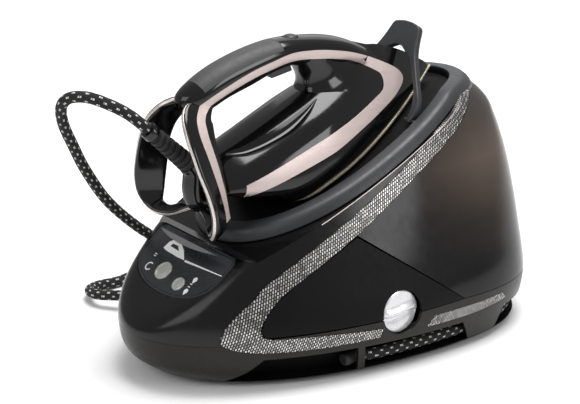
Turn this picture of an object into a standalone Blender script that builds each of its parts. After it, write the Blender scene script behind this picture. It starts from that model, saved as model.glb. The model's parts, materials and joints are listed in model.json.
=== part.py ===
"""Steam generator iron: a boiler base with a removable water tank, and the iron that rests on it.

Metres, +Z up. The origin is under the middle of the base, on the surface it stands on. The control
panel faces -Y and the water tank faces +Y. Shape tables below are in millimetres and are scaled by MM.
"""

import math

import bmesh
import bpy
from mathutils import Matrix, Vector

MM = 0.001
GAP = 0.3          # between faces that meet
WALL = 3.0         # thickness of the moulded casings
RING = 32          # points round the body
FAR = 300.0        # beyond every face of the object, for cutters
GROUND = -2.5      # level of the surface that the feet stand on, in the tables' frame
MIDDLE_Y = 0.75    # y of the middle of the base, in the tables' frame

# --- the body: level z, front y, rear y, half width, y of the widest point
SECTIONS = (
    (0, -182, 203, 131, 66),
    (20, -207, 210, 135, 66),
    (45, -213.5, 215, 137.5, 66),
    (65, -211.5, 214, 135, 66),
    (90, -202, 213, 127, 69),
    (120, -182, 211, 117, 75),
    (150, -154, 207, 107, 81),
    (180, -109, 201, 95, 89),
    (210, -49, 192.5, 80, 99),
    (235, 11, 183.5, 65, 106),
    (252, 50, 178, 50, 110),
)
FRONT_POWER = 2.0
REAR_POWER = ((0, 2.7), (120, 2.6), (180, 2.5), (252, 2.1))

# --- side-view lines, as (y, z)
SKIRT_TOP = ((-240, 46), (-165, 46), (-140, 51), (73, 51), (240, 44))
SKIRT_BOTTOM = 5.5
STRIP = (
    (-26, 35.5), (-85, 36), (-134, 38), (-158, 43), (-168, 50), (-163, 62), (-152, 74), (-134, 88),
    (-112, 104), (10, 166.5), (80, 201.8), (190, 247.4), (190, 238), (136, 218), (96, 196),
    (40, 168), (-34, 128.5), (-96, 97), (-118, 83), (-130, 71), (-136, 60), (-133, 52), (-85, 48.5),
    (-21, 44),
)
BAND = ((27, 34), (36, 43.5), (126, 42), (134, 35), (80, 33))
SIDE_PANEL = (
    (-133, 52.4), (73, 51.3), (-32, 128), (-96, 97), (-118, 83), (-130, 71), (-136, 60),
)
TANK = ((73, 51.3), (240, 44.3), (240, 255), (190, 238), (136, 218), (96, 196), (40, 168), (-32, 129.5))
RIDGE = (-133, 119.3)      # the ridge over the control panel
PANEL_TILT = 38            # degrees from level
PANEL_HALF = 57
WINDOWS = (
    ((-158, 0), (-158, 4), (-133, 31), (-47, 29.5), (-43, 0)),
    ((-36, 0), (-40, 29), (73, 26.5), (86, 0)),
    ((118, 0), (132, 27), (192, 26), (192, 0)),
)

# --- the frame of the parked iron: distance along the sole u, height over it w, sideways x
IRON_ORIGIN = (0, -95, 133.7)
IRON_TILT = 22.5
CASING_TOP = -3.86         # w where the casing ends under the iron rest
SOLE_LENGTH = 262
SOLE_HALF = 57

# --- level w, rear u, nose u, half width
SHELL = (
    (5.2, 32, 259, 55), (12, 26, 256, 54.8), (20, 14, 250, 54), (30, -1, 242, 52), (40, -14, 233, 49),
    (48, -22, 225, 45), (56, -21, 216, 38), (63, -15, 207, 29), (68, -6, 198, 20), (71, 5, 190, 11),
)
SHELL_FOOT, SHELL_TOP = 5.2, 71
WIDEST_U = 90
NOSE_POWER = 1.6
HEEL_POWER = 4.5

# --- handle: u, w, slope in degrees, half height, half width
HANDLE = (
    (-9, 126, 12, 9, 8), (-5, 127, 9, 13, 12), (8, 128, 4, 15.5, 16), (35, 128.5, -2, 16.5, 17.5),
    (65, 125, -8, 16.5, 18), (92, 120.5, -14, 14.5, 18), (112, 114, -22, 13.5, 18),
    (132, 103, -33, 14, 18.5), (150, 92, -38, 14, 20), (168, 80, -39, 12, 20), (183, 66, -42, 10, 18),
)
PILLAR = (
    (56, 124, 206, 24), (72, 123, 191, 25), (82, 122, 181, 25), (90, 119, 173, 23), (100, 115, 160, 20),
    (108, 118, 144, 18),
)
HANDLE_SIDES = 16
GRIP_FROM, GRIP_TO, GRIP_THICK = 12, 100, 3.0

# --- heel leg on +X: x, u, w, band width, band thickness
LEG = (
    (5, 3, 128, 16, 8), (18, -9, 128.5, 24, 8), (28, -21, 118, 23, 7.5), (40.5, -29, 96, 21, 7),
    (52, -35.5, 73, 22, 7), (58, -41, 54, 21, 7), (56.5, -45, 40, 19, 7), (49, -47, 29, 15, 7),
    (36, -44, 25, 11, 7), (23, -36, 27, 9, 7), (8, -30, 31, 9, 7),
)

# --- lock arch: in its own plane, x and s up the arch; its foot is at u, w and it leans towards the nose
ARCH_U, ARCH_W, ARCH_LEAN = 182, 4, 53
ARCH_THICK = 7
ARCH_OUTER = ((57.5, -3), (60, 9), (57, 21), (46, 36), (29.5, 59), (23, 73), (19, 86), (15, 89), (5, 91))
ARCH_INNER = ((51, -3), (49, 8), (36, 32), (19, 54), (9, 62), (3, 65))
PIN_RADIUS = 2.0

# --- cord of the iron
CORD_RADIUS = 5.25
GROOVE_INSET = 10.7
GROOVE_Z = 14
SOCKET_END = (-146, 195)       # y, z where the swivel boot starts
BOOT_AXIS = (0, -0.716, 0.698)
BOOT_LENGTH = 50
COLLAR_LENGTH = 8
CORD_AIR = (
    (-3, -205, 252), (-10, -218, 261), (-23, -233, 268), (-38, -243, 266), (-51, -244.5, 255),
    (-64, -236, 234.5), (-78, -219, 207), (-93, -198, 174.5), (-108, -166.5, 132.5), (-122, -124.5, 92),
    (-134, -82, 60), (-147, -42, 34), (-160, -6, 15),
)
CORD_FLOOR = (
    (-178, 20, 5), (-202, 28, 3), (-223, 14, 3), (-230, -13, 3), (-221, -44, 3),
    (-208, -74, 3), (-200, -101, 3.2), (-201, -125, 4), (-191, -142, 6.5), (-171, -146, 9.5),
    (-154, -136, 11.5), (-138, -121, 13), (-123, -101, 14), (-112, -77, 14), (-108.5, -56, 14),
)
GROOVE_START_Y, GROOVE_END_Y = -32, -28
GLAND_X, GLAND_RADIUS = 110.5, 6.2
GLAND_START_Y, GLAND_END_Y = -54, -37
INLET_Z = 31


def clear_scene():
    for old in list(bpy.data.objects):
        bpy.data.objects.remove(old, do_unlink=True)


# ---------------------------------------------------------------- materials

def finish(name, colour, roughness, metallic=0.0, transmission=0.0):
    material = bpy.data.materials.new(name)
    material.use_nodes = True
    shader = material.node_tree.nodes["Principled BSDF"]
    shader.inputs["Base Color"].default_value = (*colour, 1)
    shader.inputs["Roughness"].default_value = roughness
    shader.inputs["Metallic"].default_value = metallic
    shader.inputs["Transmission Weight"].default_value = transmission
    return material


def make_finishes():
    return {
        "gloss_black": finish("gloss_black", (0.012, 0.011, 0.010), 0.12),
        "matte_black": finish("matte_black", (0.020, 0.020, 0.022), 0.55),
        "satin_grey": finish("satin_grey", (0.060, 0.062, 0.068), 0.40),
        "brown_metallic": finish("brown_metallic", (0.070, 0.062, 0.050), 0.28, 0.5),
        "woven_silver": finish("woven_silver", (0.42, 0.41, 0.40), 0.35, 0.7),
        "smoked_tank": finish("smoked_tank", (0.10, 0.085, 0.07), 0.12, 0.0, 0.4),
        "rose_gold": finish("rose_gold", (0.56, 0.44, 0.40), 0.35, 0.8),
        "chrome": finish("chrome", (0.80, 0.80, 0.80), 0.12, 1.0),
        "silver_button": finish("silver_button", (0.62, 0.62, 0.62), 0.35, 0.6),
        "soft_grip": finish("soft_grip", (0.10, 0.10, 0.11), 0.75),
        "rubber": finish("rubber", (0.015, 0.015, 0.016), 0.7),
        "sole_gold": finish("sole_gold", (0.62, 0.50, 0.33), 0.3, 0.9),
        "aluminium": finish("aluminium", (0.65, 0.66, 0.67), 0.45, 0.9),
        "circuit_board": finish("circuit_board", (0.02, 0.14, 0.06), 0.5),
        "white_plastic": finish("white_plastic", (0.80, 0.80, 0.78), 0.45),
        "textile": finish("textile", (0.03, 0.03, 0.03), 0.85),
    }


# ---------------------------------------------------------------- mesh makers

def make_base_frame():
    """The empty that carries every piece, at the origin of the tables' frame."""
    frame = bpy.data.objects.new("base_frame", None)
    frame.location = (0, -MIDDLE_Y * MM, -GROUND * MM)
    bpy.context.scene.collection.objects.link(frame)
    return frame


def solid(name, points, faces, material=None):
    """A closed mesh from points in millimetres, with its faces turned outwards."""
    mesh = bpy.data.meshes.new(name)
    mesh.from_pydata([Vector(p) * MM for p in points], [], faces)
    shape = bmesh.new()
    shape.from_mesh(mesh)
    bmesh.ops.recalc_face_normals(shape, faces=shape.faces)
    shape.to_mesh(mesh)
    shape.free()
    mesh.set_sharp_from_angle(angle=math.radians(35))
    mesh.shade_smooth()
    thing = bpy.data.objects.new(name, mesh)
    bpy.context.scene.collection.objects.link(thing)
    thing.parent = BASE
    if material:
        mesh.materials.append(FINISH[material])
    else:
        thing.hide_render = True
        thing.display_type = "WIRE"
    return thing


def bridged(count, levels, closed):
    """Quads that join each ring of points to the next, and the last to the first where closed."""
    faces = []
    for level in range(levels if closed else levels - 1):
        low, high = level * count, (level + 1) % levels * count
        for k in range(count):
            after = (k + 1) % count
            faces.append((low + k, low + after, high + after, high + k))
    return faces


def loft(name, rings, material=None):
    """A solid through rings of points, with flat ends."""
    count = len(rings[0])
    faces = bridged(count, len(rings), False)
    faces.append(tuple(range(count)))
    faces.append(tuple(range((len(rings) - 1) * count, len(rings) * count)))
    return solid(name, [p for ring in rings for p in ring], faces, material)


def loop_loft(name, rings, material=None):
    """A ring-shaped solid: the last ring of points joins the first."""
    return solid(name, [p for ring in rings for p in ring], bridged(len(rings[0]), len(rings), True), material)


def prism(name, outline, low, high, material=None):
    """An outline of (y, z) points extruded along X."""
    return loft(name, [[(x, y, z) for y, z in outline] for x in (low, high)], material)


def turned(name, profile, centre, axis, material=None, sides=16):
    """A profile of (distance along the axis, radius) turned about an axis through a centre."""
    along = Vector(axis).normalized()
    side = along.orthogonal().normalized()
    other = along.cross(side)
    turns = [2 * math.pi * k / sides for k in range(sides)]
    rings = []
    for distance, radius in profile:
        middle = Vector(centre) + along * distance
        rings.append([middle + (side * math.cos(a) + other * math.sin(a)) * radius for a in turns])
    return loft(name, rings, material)


def rod(name, start, end, radius, material=None, sides=16):
    length = (Vector(end) - Vector(start)).length
    return turned(name, ((0, radius), (length, radius)), start, Vector(end) - Vector(start), material, sides)


def block(name, low, high, material=None):
    outline = [(low[1], low[2]), (high[1], low[2]), (high[1], high[2]), (low[1], high[2])]
    return prism(name, outline, low[0], high[0], material)


def boolean(thing, cutter, operation):
    modifier = thing.modifiers.new(f"{operation.lower()} {cutter.name}", "BOOLEAN")
    modifier.operation = operation
    modifier.object = cutter
    modifier.solver = "EXACT"


def cut(thing, *cutters):
    for cutter in cutters:
        boolean(thing, cutter, "DIFFERENCE")
    return thing


def keep(thing, cutter):
    boolean(thing, cutter, "INTERSECT")
    return thing


def offset(outline, distance):
    """The outline moved outwards by a distance, or inwards where it is negative."""
    points = [Vector(p) for p in outline]
    area = sum(a.x * b.y - b.x * a.y for a, b in zip(points, points[1:] + points[:1]))
    turn = math.copysign(1, area)
    moved = []
    for k, point in enumerate(points):
        before = (point - points[k - 1]).normalized()
        after = (points[(k + 1) % len(points)] - point).normalized()
        normals = [Vector((e.y, -e.x)) * turn for e in (before, after)]
        middle = normals[0] + normals[1]
        moved.append(tuple(point + middle * distance / max(middle.length_squared / 2, 0.3)))
    return moved


# ---------------------------------------------------------------- the body's outline

def between(table, z, column):
    for low, high in zip(table, table[1:]):
        if z <= high[0]:
            break
    share = (z - low[0]) / (high[0] - low[0])
    return low[column] + (high[column] - low[column]) * share


def body_ring(z, inset=0.0, count=RING):
    """Points round the body at one level, from the +X side towards the rear."""
    front = between(SECTIONS, z, 1) + inset
    rear = between(SECTIONS, z, 2) - inset
    half = between(SECTIONS, z, 3) - inset
    middle = between(SECTIONS, z, 4)
    points = []
    for k in range(count):
        angle = 2 * math.pi * k / count
        across, along = math.cos(angle), math.sin(angle)
        power = between(REAR_POWER, z, 1) if along > 0 else FRONT_POWER
        length = rear - middle if along > 0 else middle - front
        x = half * math.copysign(abs(across) ** (2 / power), across)
        y = middle + length * math.copysign(abs(along) ** (2 / power), along)
        points.append((x, y, z))
    return points


def levels(low, high):
    return [low] + [s[0] for s in SECTIONS if low < s[0] < high] + [high]


def body_solid(name, inset, low, high, material=None):
    return loft(name, [body_ring(z, inset) for z in levels(low, high)], material)


def body_shell(name, low, high, material=None, outer=0.0, inner=WALL):
    rings = [body_ring(z, outer) for z in levels(low, high)]
    rings += [body_ring(z, inner) for z in reversed(levels(low, high))]
    return loop_loft(name, rings, material)


def side_box(outline, side, name, nearest=25.0, grow=0.0):
    """A cutter that holds one side of the body, within an outline of the side view."""
    low, high = sorted((side * nearest, side * FAR))
    return prism(name, offset(outline, grow) if grow else outline, low, high)


# ---------------------------------------------------------------- the parked iron's frame

TILT = math.radians(IRON_TILT)


def on_iron(x, u, w):
    along = Vector((0, math.cos(TILT), math.sin(TILT)))
    up = Vector((0, -math.sin(TILT), math.cos(TILT)))
    return Vector(IRON_ORIGIN) + Vector((x, 0, 0)) + along * u + up * w


def iron_direction(x, u, w):
    return on_iron(x, u, w) - on_iron(0, 0, 0)


def iron_outline(w, rear, nose, half, count=RING):
    """Points round the iron at one level: a blunt heel and a pointed nose."""
    points = []
    for k in range(count):
        angle = 2 * math.pi * k / count
        across, along = math.cos(angle), math.sin(angle)
        if along > 0:
            x = math.copysign(half * (1 - along ** NOSE_POWER), across)
            u = WIDEST_U + (nose - WIDEST_U) * along
        else:
            x = half * math.copysign(abs(across) ** (2 / HEEL_POWER), across)
            u = WIDEST_U - (WIDEST_U - rear) * abs(along) ** (2 / HEEL_POWER)
        if k == count // 4:
            x = 0
        points.append(on_iron(x, u, w))
    return points


# ---------------------------------------------------------------- the base

def make_tray():
    rings = [
        body_ring(2.6, 3.5), body_ring(3.2, 1.2), body_ring(5.0, 1.2), body_ring(5.1, 16.0),
        body_ring(5.2, 18.0), body_ring(33, 18.0), body_ring(33, 20.5), body_ring(5.4, 20.5),
    ]
    tray = loft("base_tray", rings, "matte_black")
    cut(tray, rod("cutter_pipe_hole", (70, -44, GROOVE_Z), (GLAND_X, -44, GROOVE_Z), 4), rod("cutter_gland_seat", (GLAND_X, -53, GROOVE_Z), (GLAND_X, -20, GROOVE_Z), 6.6))
    cut(tray, rod("cutter_inlet_hole", (0, 150, INLET_Z), (0, 230, INLET_Z), 7.4))


def make_feet():
    for name, x, y in (("front_left", -78, -92), ("front_right", 78, -92), ("rear_left", -82, 150), ("rear_right", 82, 150)):
        profile = ((GROUND, 8.5), (GROUND + 1.2, 10), (2.3, 10))
        turned(f"foot_{name}", profile, (x, y, 0), (0, 0, 1), "rubber")
    for name, x in (("left", -45), ("right", 45)):
        turned(f"tray_screw_{name}", ((0, 3), (0.8, 3.6), (1.5, 3.6)), (x, 30, 0.8), (0, 0, 1), "chrome", 12)


def make_skirt():
    skirt = body_shell("lower_skirt", SKIRT_BOTTOM, 60, "brown_metallic")
    keep(skirt, prism("cutter_skirt_top", [(-240, -5), *SKIRT_TOP, (240, -5)], -FAR, FAR))
    for k, window in enumerate(WINDOWS):
        cut(skirt, side_box(window, 1, f"cutter_window_right_{k}", 60))
        cut(skirt, side_box(window, -1, f"cutter_window_left_{k}", 60))
    for side, word in ((1, "right"), (-1, "left")):
        cut(skirt, side_box(STRIP, side, f"cutter_strip_in_skirt_{word}", grow=GAP))
        cut(skirt, side_box(BAND, side, f"cutter_band_in_skirt_{word}", grow=GAP))
    cut(skirt, rod("cutter_cover_hole", (100, *PORT_AT), (160, *PORT_AT), COVER_RADIUS + 0.5, sides=32))
    cut(skirt, rod("cutter_inlet_in_skirt", (0, 180, INLET_Z), (0, 230, INLET_Z), 9))


def panel_point(down, out):
    """A point of the control panel's plane, as (y, z): down the slope from the ridge, and out of the plane."""
    slope = math.radians(PANEL_TILT)
    return (
        RIDGE[0] - down * math.cos(slope) - out * math.sin(slope),
        RIDGE[1] - down * math.sin(slope) + out * math.cos(slope),
    )


def iron_line(u, w):
    point = on_iron(0, u, w)
    return (point.y, point.z)


def make_front_casing():
    seat_front = iron_line(-34, CASING_TOP)
    outline = [(y, z + GAP) for y, z in SKIRT_TOP[:3]]
    outline += [(-148, 60), (-136, 76), (-104, 99), (40, 176), (190, 243), iron_line(300, CASING_TOP)]
    outline += [seat_front, (seat_front[0] - 1.5, RIDGE[1]), RIDGE, panel_point(110, 0)]
    casing = body_solid("front_casing", 0, 40, 252, "gloss_black")
    keep(casing, prism("cutter_casing_side", outline, -FAR, FAR))
    hollow = [(-235, 30), (-80, 30), (80, 150), (230, 215), iron_line(330, CASING_TOP - WALL)]
    hollow += [iron_line(-36, CASING_TOP - WALL), panel_point(4, -WALL), panel_point(130, -WALL)]
    inner = keep(body_solid("cutter_casing_hollow", WALL, 30, 252), prism("cutter_hollow_side", hollow, -FAR, FAR))
    cut(casing, inner, loft("cutter_rest_opening", [rest_ring(w, 11) for w in (-14, 10)]))
    cut(casing, loft("cutter_panel_opening", [panel_ring(out, 0.4) for out in (-8, 8)]))
    for side, word in ((1, "right"), (-1, "left")):
        cut(casing, side_box(STRIP, side, f"cutter_strip_in_casing_{word}", nearest=-0.2, grow=GAP))


def make_sides():
    for side, word in ((1, "right"), (-1, "left")):
        keep(body_shell(f"pattern_strip_{word}", 30, 252, "woven_silver"), side_box(STRIP, side, f"cutter_strip_{word}", GAP / 2))
        keep(body_shell(f"pattern_band_{word}", 25, 50, "woven_silver"), side_box(BAND, side, f"cutter_band_{word}"))
        panel = keep(
            body_shell(f"side_panel_{word}", 50, 140, "matte_black"),
            side_box(SIDE_PANEL, side, f"cutter_side_panel_{word}", grow=-GAP),
        )
        if side > 0:
            cut(panel, rod("cutter_cover_in_panel", (100, *PORT_AT), (160, *PORT_AT), COVER_RADIUS + 0.5, sides=32))


def rest_ring(w, inset):
    """Points round the iron rest: rounder at the front, longer towards the nose of the iron."""
    half, front, rear, middle = 90 - inset, -32 + inset, 292 - inset, 105
    points = []
    for k in range(RING):
        angle = 2 * math.pi * k / RING
        across, along = math.cos(angle), math.sin(angle)
        power = 2.0 if along > 0 else 2.15
        length = rear - middle if along > 0 else middle - front
        x = half * math.copysign(abs(across) ** (2 / power), across)
        u = middle + length * math.copysign(abs(along) ** (2 / power), along)
        points.append(on_iron(x, u, w))
    return points


def make_iron_rest():
    profile = ((-3.5, 1), (-2.5, 0), (1.5, 3), (5, 8), (7, 14), (6, 17), (0.5, 18.5), (-1.5, 19))
    loft("iron_rest", [rest_ring(w, inset) for w, inset in profile], "satin_grey")
    for side, word in ((1, "right"), (-1, "left")):
        rings = []
        for w in (-1.2, -0.3):
            rings.append([on_iron(side * x, u, w) for x, u in ((30, 42), (42, 42), (38, 130), (28, 130))])
        loft(f"rest_pad_{word}", rings, "rubber")


def make_lock_arch():
    lean = math.radians(ARCH_LEAN)
    up = (math.sin(lean), math.cos(lean))
    normal = (math.cos(lean), -math.sin(lean))
    outline = list(ARCH_OUTER) + [(-x, s) for x, s in reversed(ARCH_OUTER)]
    outline += [(-x, s) for x, s in ARCH_INNER] + list(reversed(ARCH_INNER))
    rings = []
    for depth in (-ARCH_THICK / 2, ARCH_THICK / 2):
        rings.append([
            on_iron(x, ARCH_U + s * up[0] + depth * normal[0], ARCH_W + s * up[1] + depth * normal[1])
            for x, s in outline
        ])
    arch = loft("lock_arch", rings, "satin_grey")
    for side, word in ((1, "right"), (-1, "left")):
        centre = (ARCH_U, ARCH_W)
        bore = [on_iron(side * x, *centre) for x in (40, 64)]
        cut(arch, rod(f"cutter_pin_bore_{word}", *bore, PIN_RADIUS + 0.3, sides=16))
        ends = [on_iron(side * x, *centre) for x in (48, 63)]
        rod(f"arch_pin_{word}", *ends, PIN_RADIUS, "chrome", 16)


# ---------------------------------------------------------------- control panel

def on_panel(x, down, out):
    y, z = panel_point(down, out)
    return Vector((x, y, z))


POWER_AT, POWER_RADIUS = (-12.5, 44), 9.5
ECO_AT, ECO_RADIUS = (17, 48.5), 7.0


def panel_ring(out, grow=0.0):
    """The control panel's outline: a straight top, straight sides and a round lower edge."""
    half, top, side_end, bottom = PANEL_HALF + grow, 3 - grow, 28, 62 + grow
    corner = 6
    points = [(half, side_end), (half, top + corner), (half - corner, top)]
    points += [(-half + corner, top), (-half, top + corner), (-half, side_end)]
    for k in range(1, 14):
        angle = math.pi * k / 14
        x = -half * math.copysign(abs(math.cos(angle)) ** 0.9, math.cos(angle))
        points.append((x, side_end + (bottom - side_end) * math.sin(angle) ** 0.9))
    return [on_panel(x, down, out) for x, down in points]


def make_control_panel():
    panel = loft("control_panel", [panel_ring(out) for out in (-2.2, -0.3)], "gloss_black")
    axis = on_panel(0, 0, 1) - on_panel(0, 0, 0)
    for name, (x, down), radius in (("power_button", POWER_AT, POWER_RADIUS), ("eco_button", ECO_AT, ECO_RADIUS)):
        cut(panel, rod(f"cutter_{name}", on_panel(x, down, -6), on_panel(x, down, 6), radius + 0.4, sides=24))
        profile = ((0, radius), (5, radius), (6, radius - 0.8))
        turned(name, profile, on_panel(x, down, -4.6), axis, "silver_button", 24)
    corners = [(-34, 16), (34, 16), (34, 56), (-34, 56)]
    board = [[on_panel(x, down, out) for x, down in corners] for out in (-14, -12.4)]
    loft("control_board", board, "circuit_board")


# ---------------------------------------------------------------- boiler, pump and pipes

COVER_RADIUS = 20.5
COVER_X = 121.3
PORT_AT = (-0.5, 54.6)     # y, z of the axis of the scale collector and its cover
BOILER = (0, -42)
BOILER_RADIUS = 52


def make_boiler():
    x, y = BOILER
    r = BOILER_RADIUS
    profile = ((0, r - 8), (3, r - 2), (8, r), (64, r), (72, r - 6), (76, r - 20))
    boiler = turned("boiler", profile, (x, y, 14), (0, 0, 1), "aluminium", 32)
    port = rod("cutter_port_seat", (30, *PORT_AT), (90, *PORT_AT), 19.6)
    cut(boiler, port)
    turned("boiler_heater", ((0, 44), (5, 44)), (x, y, 8), (0, 0, 1), "aluminium", 28)
    turned("solenoid_valve", ((0, 9), (6, 9), (6.5, 14), (24, 14), (25, 6), (30, 6)), (x, y, 90.6), (0, 0, 1), "chrome", 20)
    housing = turned("collector_housing", ((0, 16), (4, 19), (76, 19)), (42, *PORT_AT), (1, 0, 0), "white_plastic")
    cut(housing, rod("cutter_collector_bore", (48, *PORT_AT), (130, *PORT_AT), 16.5))
    profile = ((0, 8), (4, 12), (48, 12), (50, 15.5), (58, 15.5))
    turned("scale_collector", profile, (52, *PORT_AT), (1, 0, 0), "aluminium", 20)
    profile = ((0, COVER_RADIUS - 1), (2, COVER_RADIUS), (8, COVER_RADIUS), (10.5, 17), (11.5, 9))
    turned("collector_cover", profile, (COVER_X, *PORT_AT), (1, 0, 0), "chrome", 32)
    turned("collector_seal", ((0, 18), (1.6, 18)), (118.6, *PORT_AT), (1, 0, 0), "rubber")
    cut(bpy.data.objects["collector_seal"], rod("cutter_seal_hole", (110, *PORT_AT), (130, *PORT_AT), 13.5))


def tube(name, points, radius, material, sides=2):
    """A poly-line tube with filled ends. points are in millimetres."""
    line = bpy.data.curves.new(name, "CURVE")
    line.dimensions = "3D"
    line.bevel_depth = radius * MM
    line.bevel_resolution = sides
    line.use_fill_caps = True
    path = line.splines.new("POLY")
    path.points.add(len(points) - 1)
    for point, place in zip(path.points, points):
        point.co = (*(Vector(place) * MM), 1)
    line.materials.append(FINISH[material])
    thing = bpy.data.objects.new(name, line)
    bpy.context.scene.collection.objects.link(thing)
    thing.parent = BASE
    return thing


def smooth_line(points, step):
    """Points every step along a Catmull-Rom curve through the given points."""
    places = [Vector(p) for p in points]
    ends = [2 * places[0] - places[1], *places, 2 * places[-1] - places[-2]]
    fine = [places[0]]
    for a, b, c, d in zip(ends, ends[1:], ends[2:], ends[3:]):
        for k in range(1, 17):
            t = k / 16
            fine.append(
                0.5 * (2 * b + (c - a) * t + (2 * a - 5 * b + 4 * c - d) * t * t + (3 * b - a - 3 * c + d) * t ** 3)
            )
    length = sum((b - a).length for a, b in zip(fine, fine[1:]))
    count = max(2, round(length / step))
    spaced, walked, wanted = [fine[0]], 0.0, length / count
    for a, b in zip(fine, fine[1:]):
        reach = (b - a).length
        while walked + reach >= wanted * len(spaced) - 1e-6 and len(spaced) < count:
            spaced.append(a.lerp(b, (wanted * len(spaced) - walked) / reach))
        walked += reach
    spaced.append(fine[-1])
    return spaced


def make_pipes():
    pipe = [(14.6, -42, 106), (30, -43, 106), (50, -60, 100), (66, -76, 78), (73, -76, 44), (78, -60, 22), (87, -44.5, GROOVE_Z)]
    pipe.append((GLAND_X - GLAND_RADIUS - GAP, -44, GROOVE_Z))
    tube("steam_pipe", smooth_line(pipe, 10), 3, "chrome", 1)
    turned("pump", ((0, 12), (3, 17), (52, 17), (55, 10), (66, 5)), (-34, 110, 25), (0, -1, 0), "white_plastic", 20)
    hose = [(-34, 43.4, 25), (-34, 35, 25), (-30, 26, 30), (-22, 18, 37), (-16, 8.6, 40)]
    tube("feed_hose", smooth_line(hose, 9), 3, "white_plastic", 1)


def make_tank_deck():
    outline = [(26, 50.4), (73, 50.4), (240, 43.4), (240, 39.5), (73, 46), (26, 46)]
    deck = keep(body_solid("tank_deck", WALL + 0.5, 35, 55, "matte_black"), prism("cutter_deck_side", outline, -FAR, FAR))
    cut(deck, rod("cutter_deck_hole", (0, 130, 30), (0, 130, 60), 12.5))
    socket = turned("tank_socket", ((0, 6), (6, 6), (7, 11.8), (18, 11.8)), (0, 130, 29), (0, 0, 1), "white_plastic", 20)
    cut(socket, rod("cutter_socket_bore", (0, 130, 33), (0, 130, 60), 4))


TANK_VALVE_AT = (130, 47.6)        # y, z of the foot of the valve under the tank
FLAP_HINGE = (201.3, 178.5)         # y, z of the filler flap's lower edge


def make_tank():
    outer = body_solid("water_tank", 0, 40, 252, "smoked_tank")
    keep(outer, prism("cutter_tank_side", offset(TANK, -GAP), -FAR, FAR))
    inner = body_solid("cutter_tank_hollow", 2.6, 40, 252)
    keep(inner, prism("cutter_tank_inner_side", offset(TANK, -GAP - 2.6), -FAR, FAR))
    cut(outer, inner)
    cut(outer, block("cutter_filler", (-27, 180, 178), (27, 230, 204)))
    cut(outer, rod("cutter_tank_outlet", (0, 130, 40), (0, 130, 56), 9.2))
    profile = ((0, 8.8), (5.5, 8.8), (6.5, 6), (14, 5))
    turned("tank_valve", profile, (0, *TANK_VALVE_AT), (0, 0, 1), "white_plastic", 20)
    flap = body_shell("tank_flap", 175, 207, "smoked_tank", 0, 2.4)
    keep(flap, block("cutter_flap", (-26.5, 150, 178.5), (26.5, 230, 203.5)))


def make_glands():
    length = GLAND_END_Y - GLAND_START_Y
    profile = ((0, GLAND_RADIUS - 1), (3, GLAND_RADIUS), (length, GLAND_RADIUS - 1))
    turned("steam_cord_gland", profile, (GLAND_X, GLAND_START_Y, GROOVE_Z), (0, 1, 0), "rubber")
    gland = turned("power_cord_gland", ((0, 7), (20, 7), (21, 8.5), (23, 8.5)), (0, 191.5, INLET_Z), (0, 1, 0), "rubber")
    cut(gland, rod("cutter_power_bore", (0, 180, INLET_Z), (0, 230, INLET_Z), 3.6))


# ---------------------------------------------------------------- the iron

def make_sole():
    loft("soleplate", [iron_outline(w, rear, nose, half) for w, rear, nose, half in (
        (0, 30, SOLE_LENGTH - 2, SOLE_HALF - 1.5), (1, 28, SOLE_LENGTH, SOLE_HALF), (4.6, 28, SOLE_LENGTH, SOLE_HALF))], "sole_gold")
    loft("steam_chamber", [iron_outline(w, rear, nose, half) for w, rear, nose, half in (
        (4.9, 40, 232, 44), (20, 42, 226, 42), (24, 46, 215, 36))], "aluminium")


def shell_section(w):
    return [between(SHELL, w, column) for column in (1, 2, 3)]


def shell_solid(name, grow, low, high, material=None, nose_extra=0.0):
    ws = [low] + [s[0] for s in SHELL if low < s[0] < high] + [high]
    rings = []
    for w in ws:
        rear, nose, half = shell_section(min(max(w, SHELL[0][0]), SHELL[-1][0]))
        rings.append(iron_outline(w, rear - grow, nose + grow + nose_extra * math.copysign(1, grow), half + grow))
    return loft(name, rings, material)


TRIM = (
    (2, 48), (62, 34.5), (127, 27.5), (165, 28), (182, 34), (184, 48), (176, 62), (165, 76),
    (184, 76), (203, 54), (214, 34), (209, 25), (184, 15), (117, 16), (55, 25), (-6, 40),
)


def iron_side_box(outline, side, name, nearest=8.0, grow=0.0):
    """A cutter that holds one side of the iron, within an outline of (u, w) points."""
    shape = offset(outline, grow) if grow else outline
    return loft(name, [[on_iron(side * x, u, w) for u, w in shape] for x in (nearest, 90)])


def make_shell():
    shell = shell_solid("iron_shell", 0, SHELL_FOOT, SHELL_TOP, "gloss_black")
    cut(shell, shell_solid("cutter_shell_hollow", -WALL, -5, SHELL_TOP - WALL, nose_extra=3))
    for side, word in ((1, "right"), (-1, "left")):
        skin = shell_solid(f"body_trim_{word}", 0, SHELL_FOOT, SHELL_TOP, "rose_gold")
        keep(skin, iron_side_box(TRIM, side, f"cutter_trim_{word}"))
        cut(skin, shell_solid(f"cutter_trim_back_{word}", -1.2, -5, 90, nose_extra=1.2))
        pocket = shell_solid(f"cutter_pocket_{word}", 3, SHELL_FOOT, SHELL_TOP - 0.1)
        keep(pocket, iron_side_box(TRIM, side, f"cutter_pocket_side_{word}", 7.6, GAP))
        cut(pocket, shell_solid(f"cutter_pocket_back_{word}", -1.5, -5, 90, nose_extra=1.5))
        cut(shell, pocket)


def handle_ring(u, w, slope, tall, wide, grow=0.0, count=HANDLE_SIDES):
    tilt = math.radians(slope)
    points = []
    for k in range(count):
        angle = 2 * math.pi * k / count
        across = math.copysign(abs(math.cos(angle)) ** (2 / 2.3), math.cos(angle)) * (wide + grow)
        up = math.copysign(abs(math.sin(angle)) ** (2 / 2.3), math.sin(angle)) * (tall + grow)
        points.append(on_iron(across, u - up * math.sin(tilt), w + up * math.cos(tilt)))
    return points


def handle_at(u):
    """The handle's section at u, between the ones in its table."""
    return [u] + [between(HANDLE, u, column) for column in (1, 2, 3, 4)]


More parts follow.
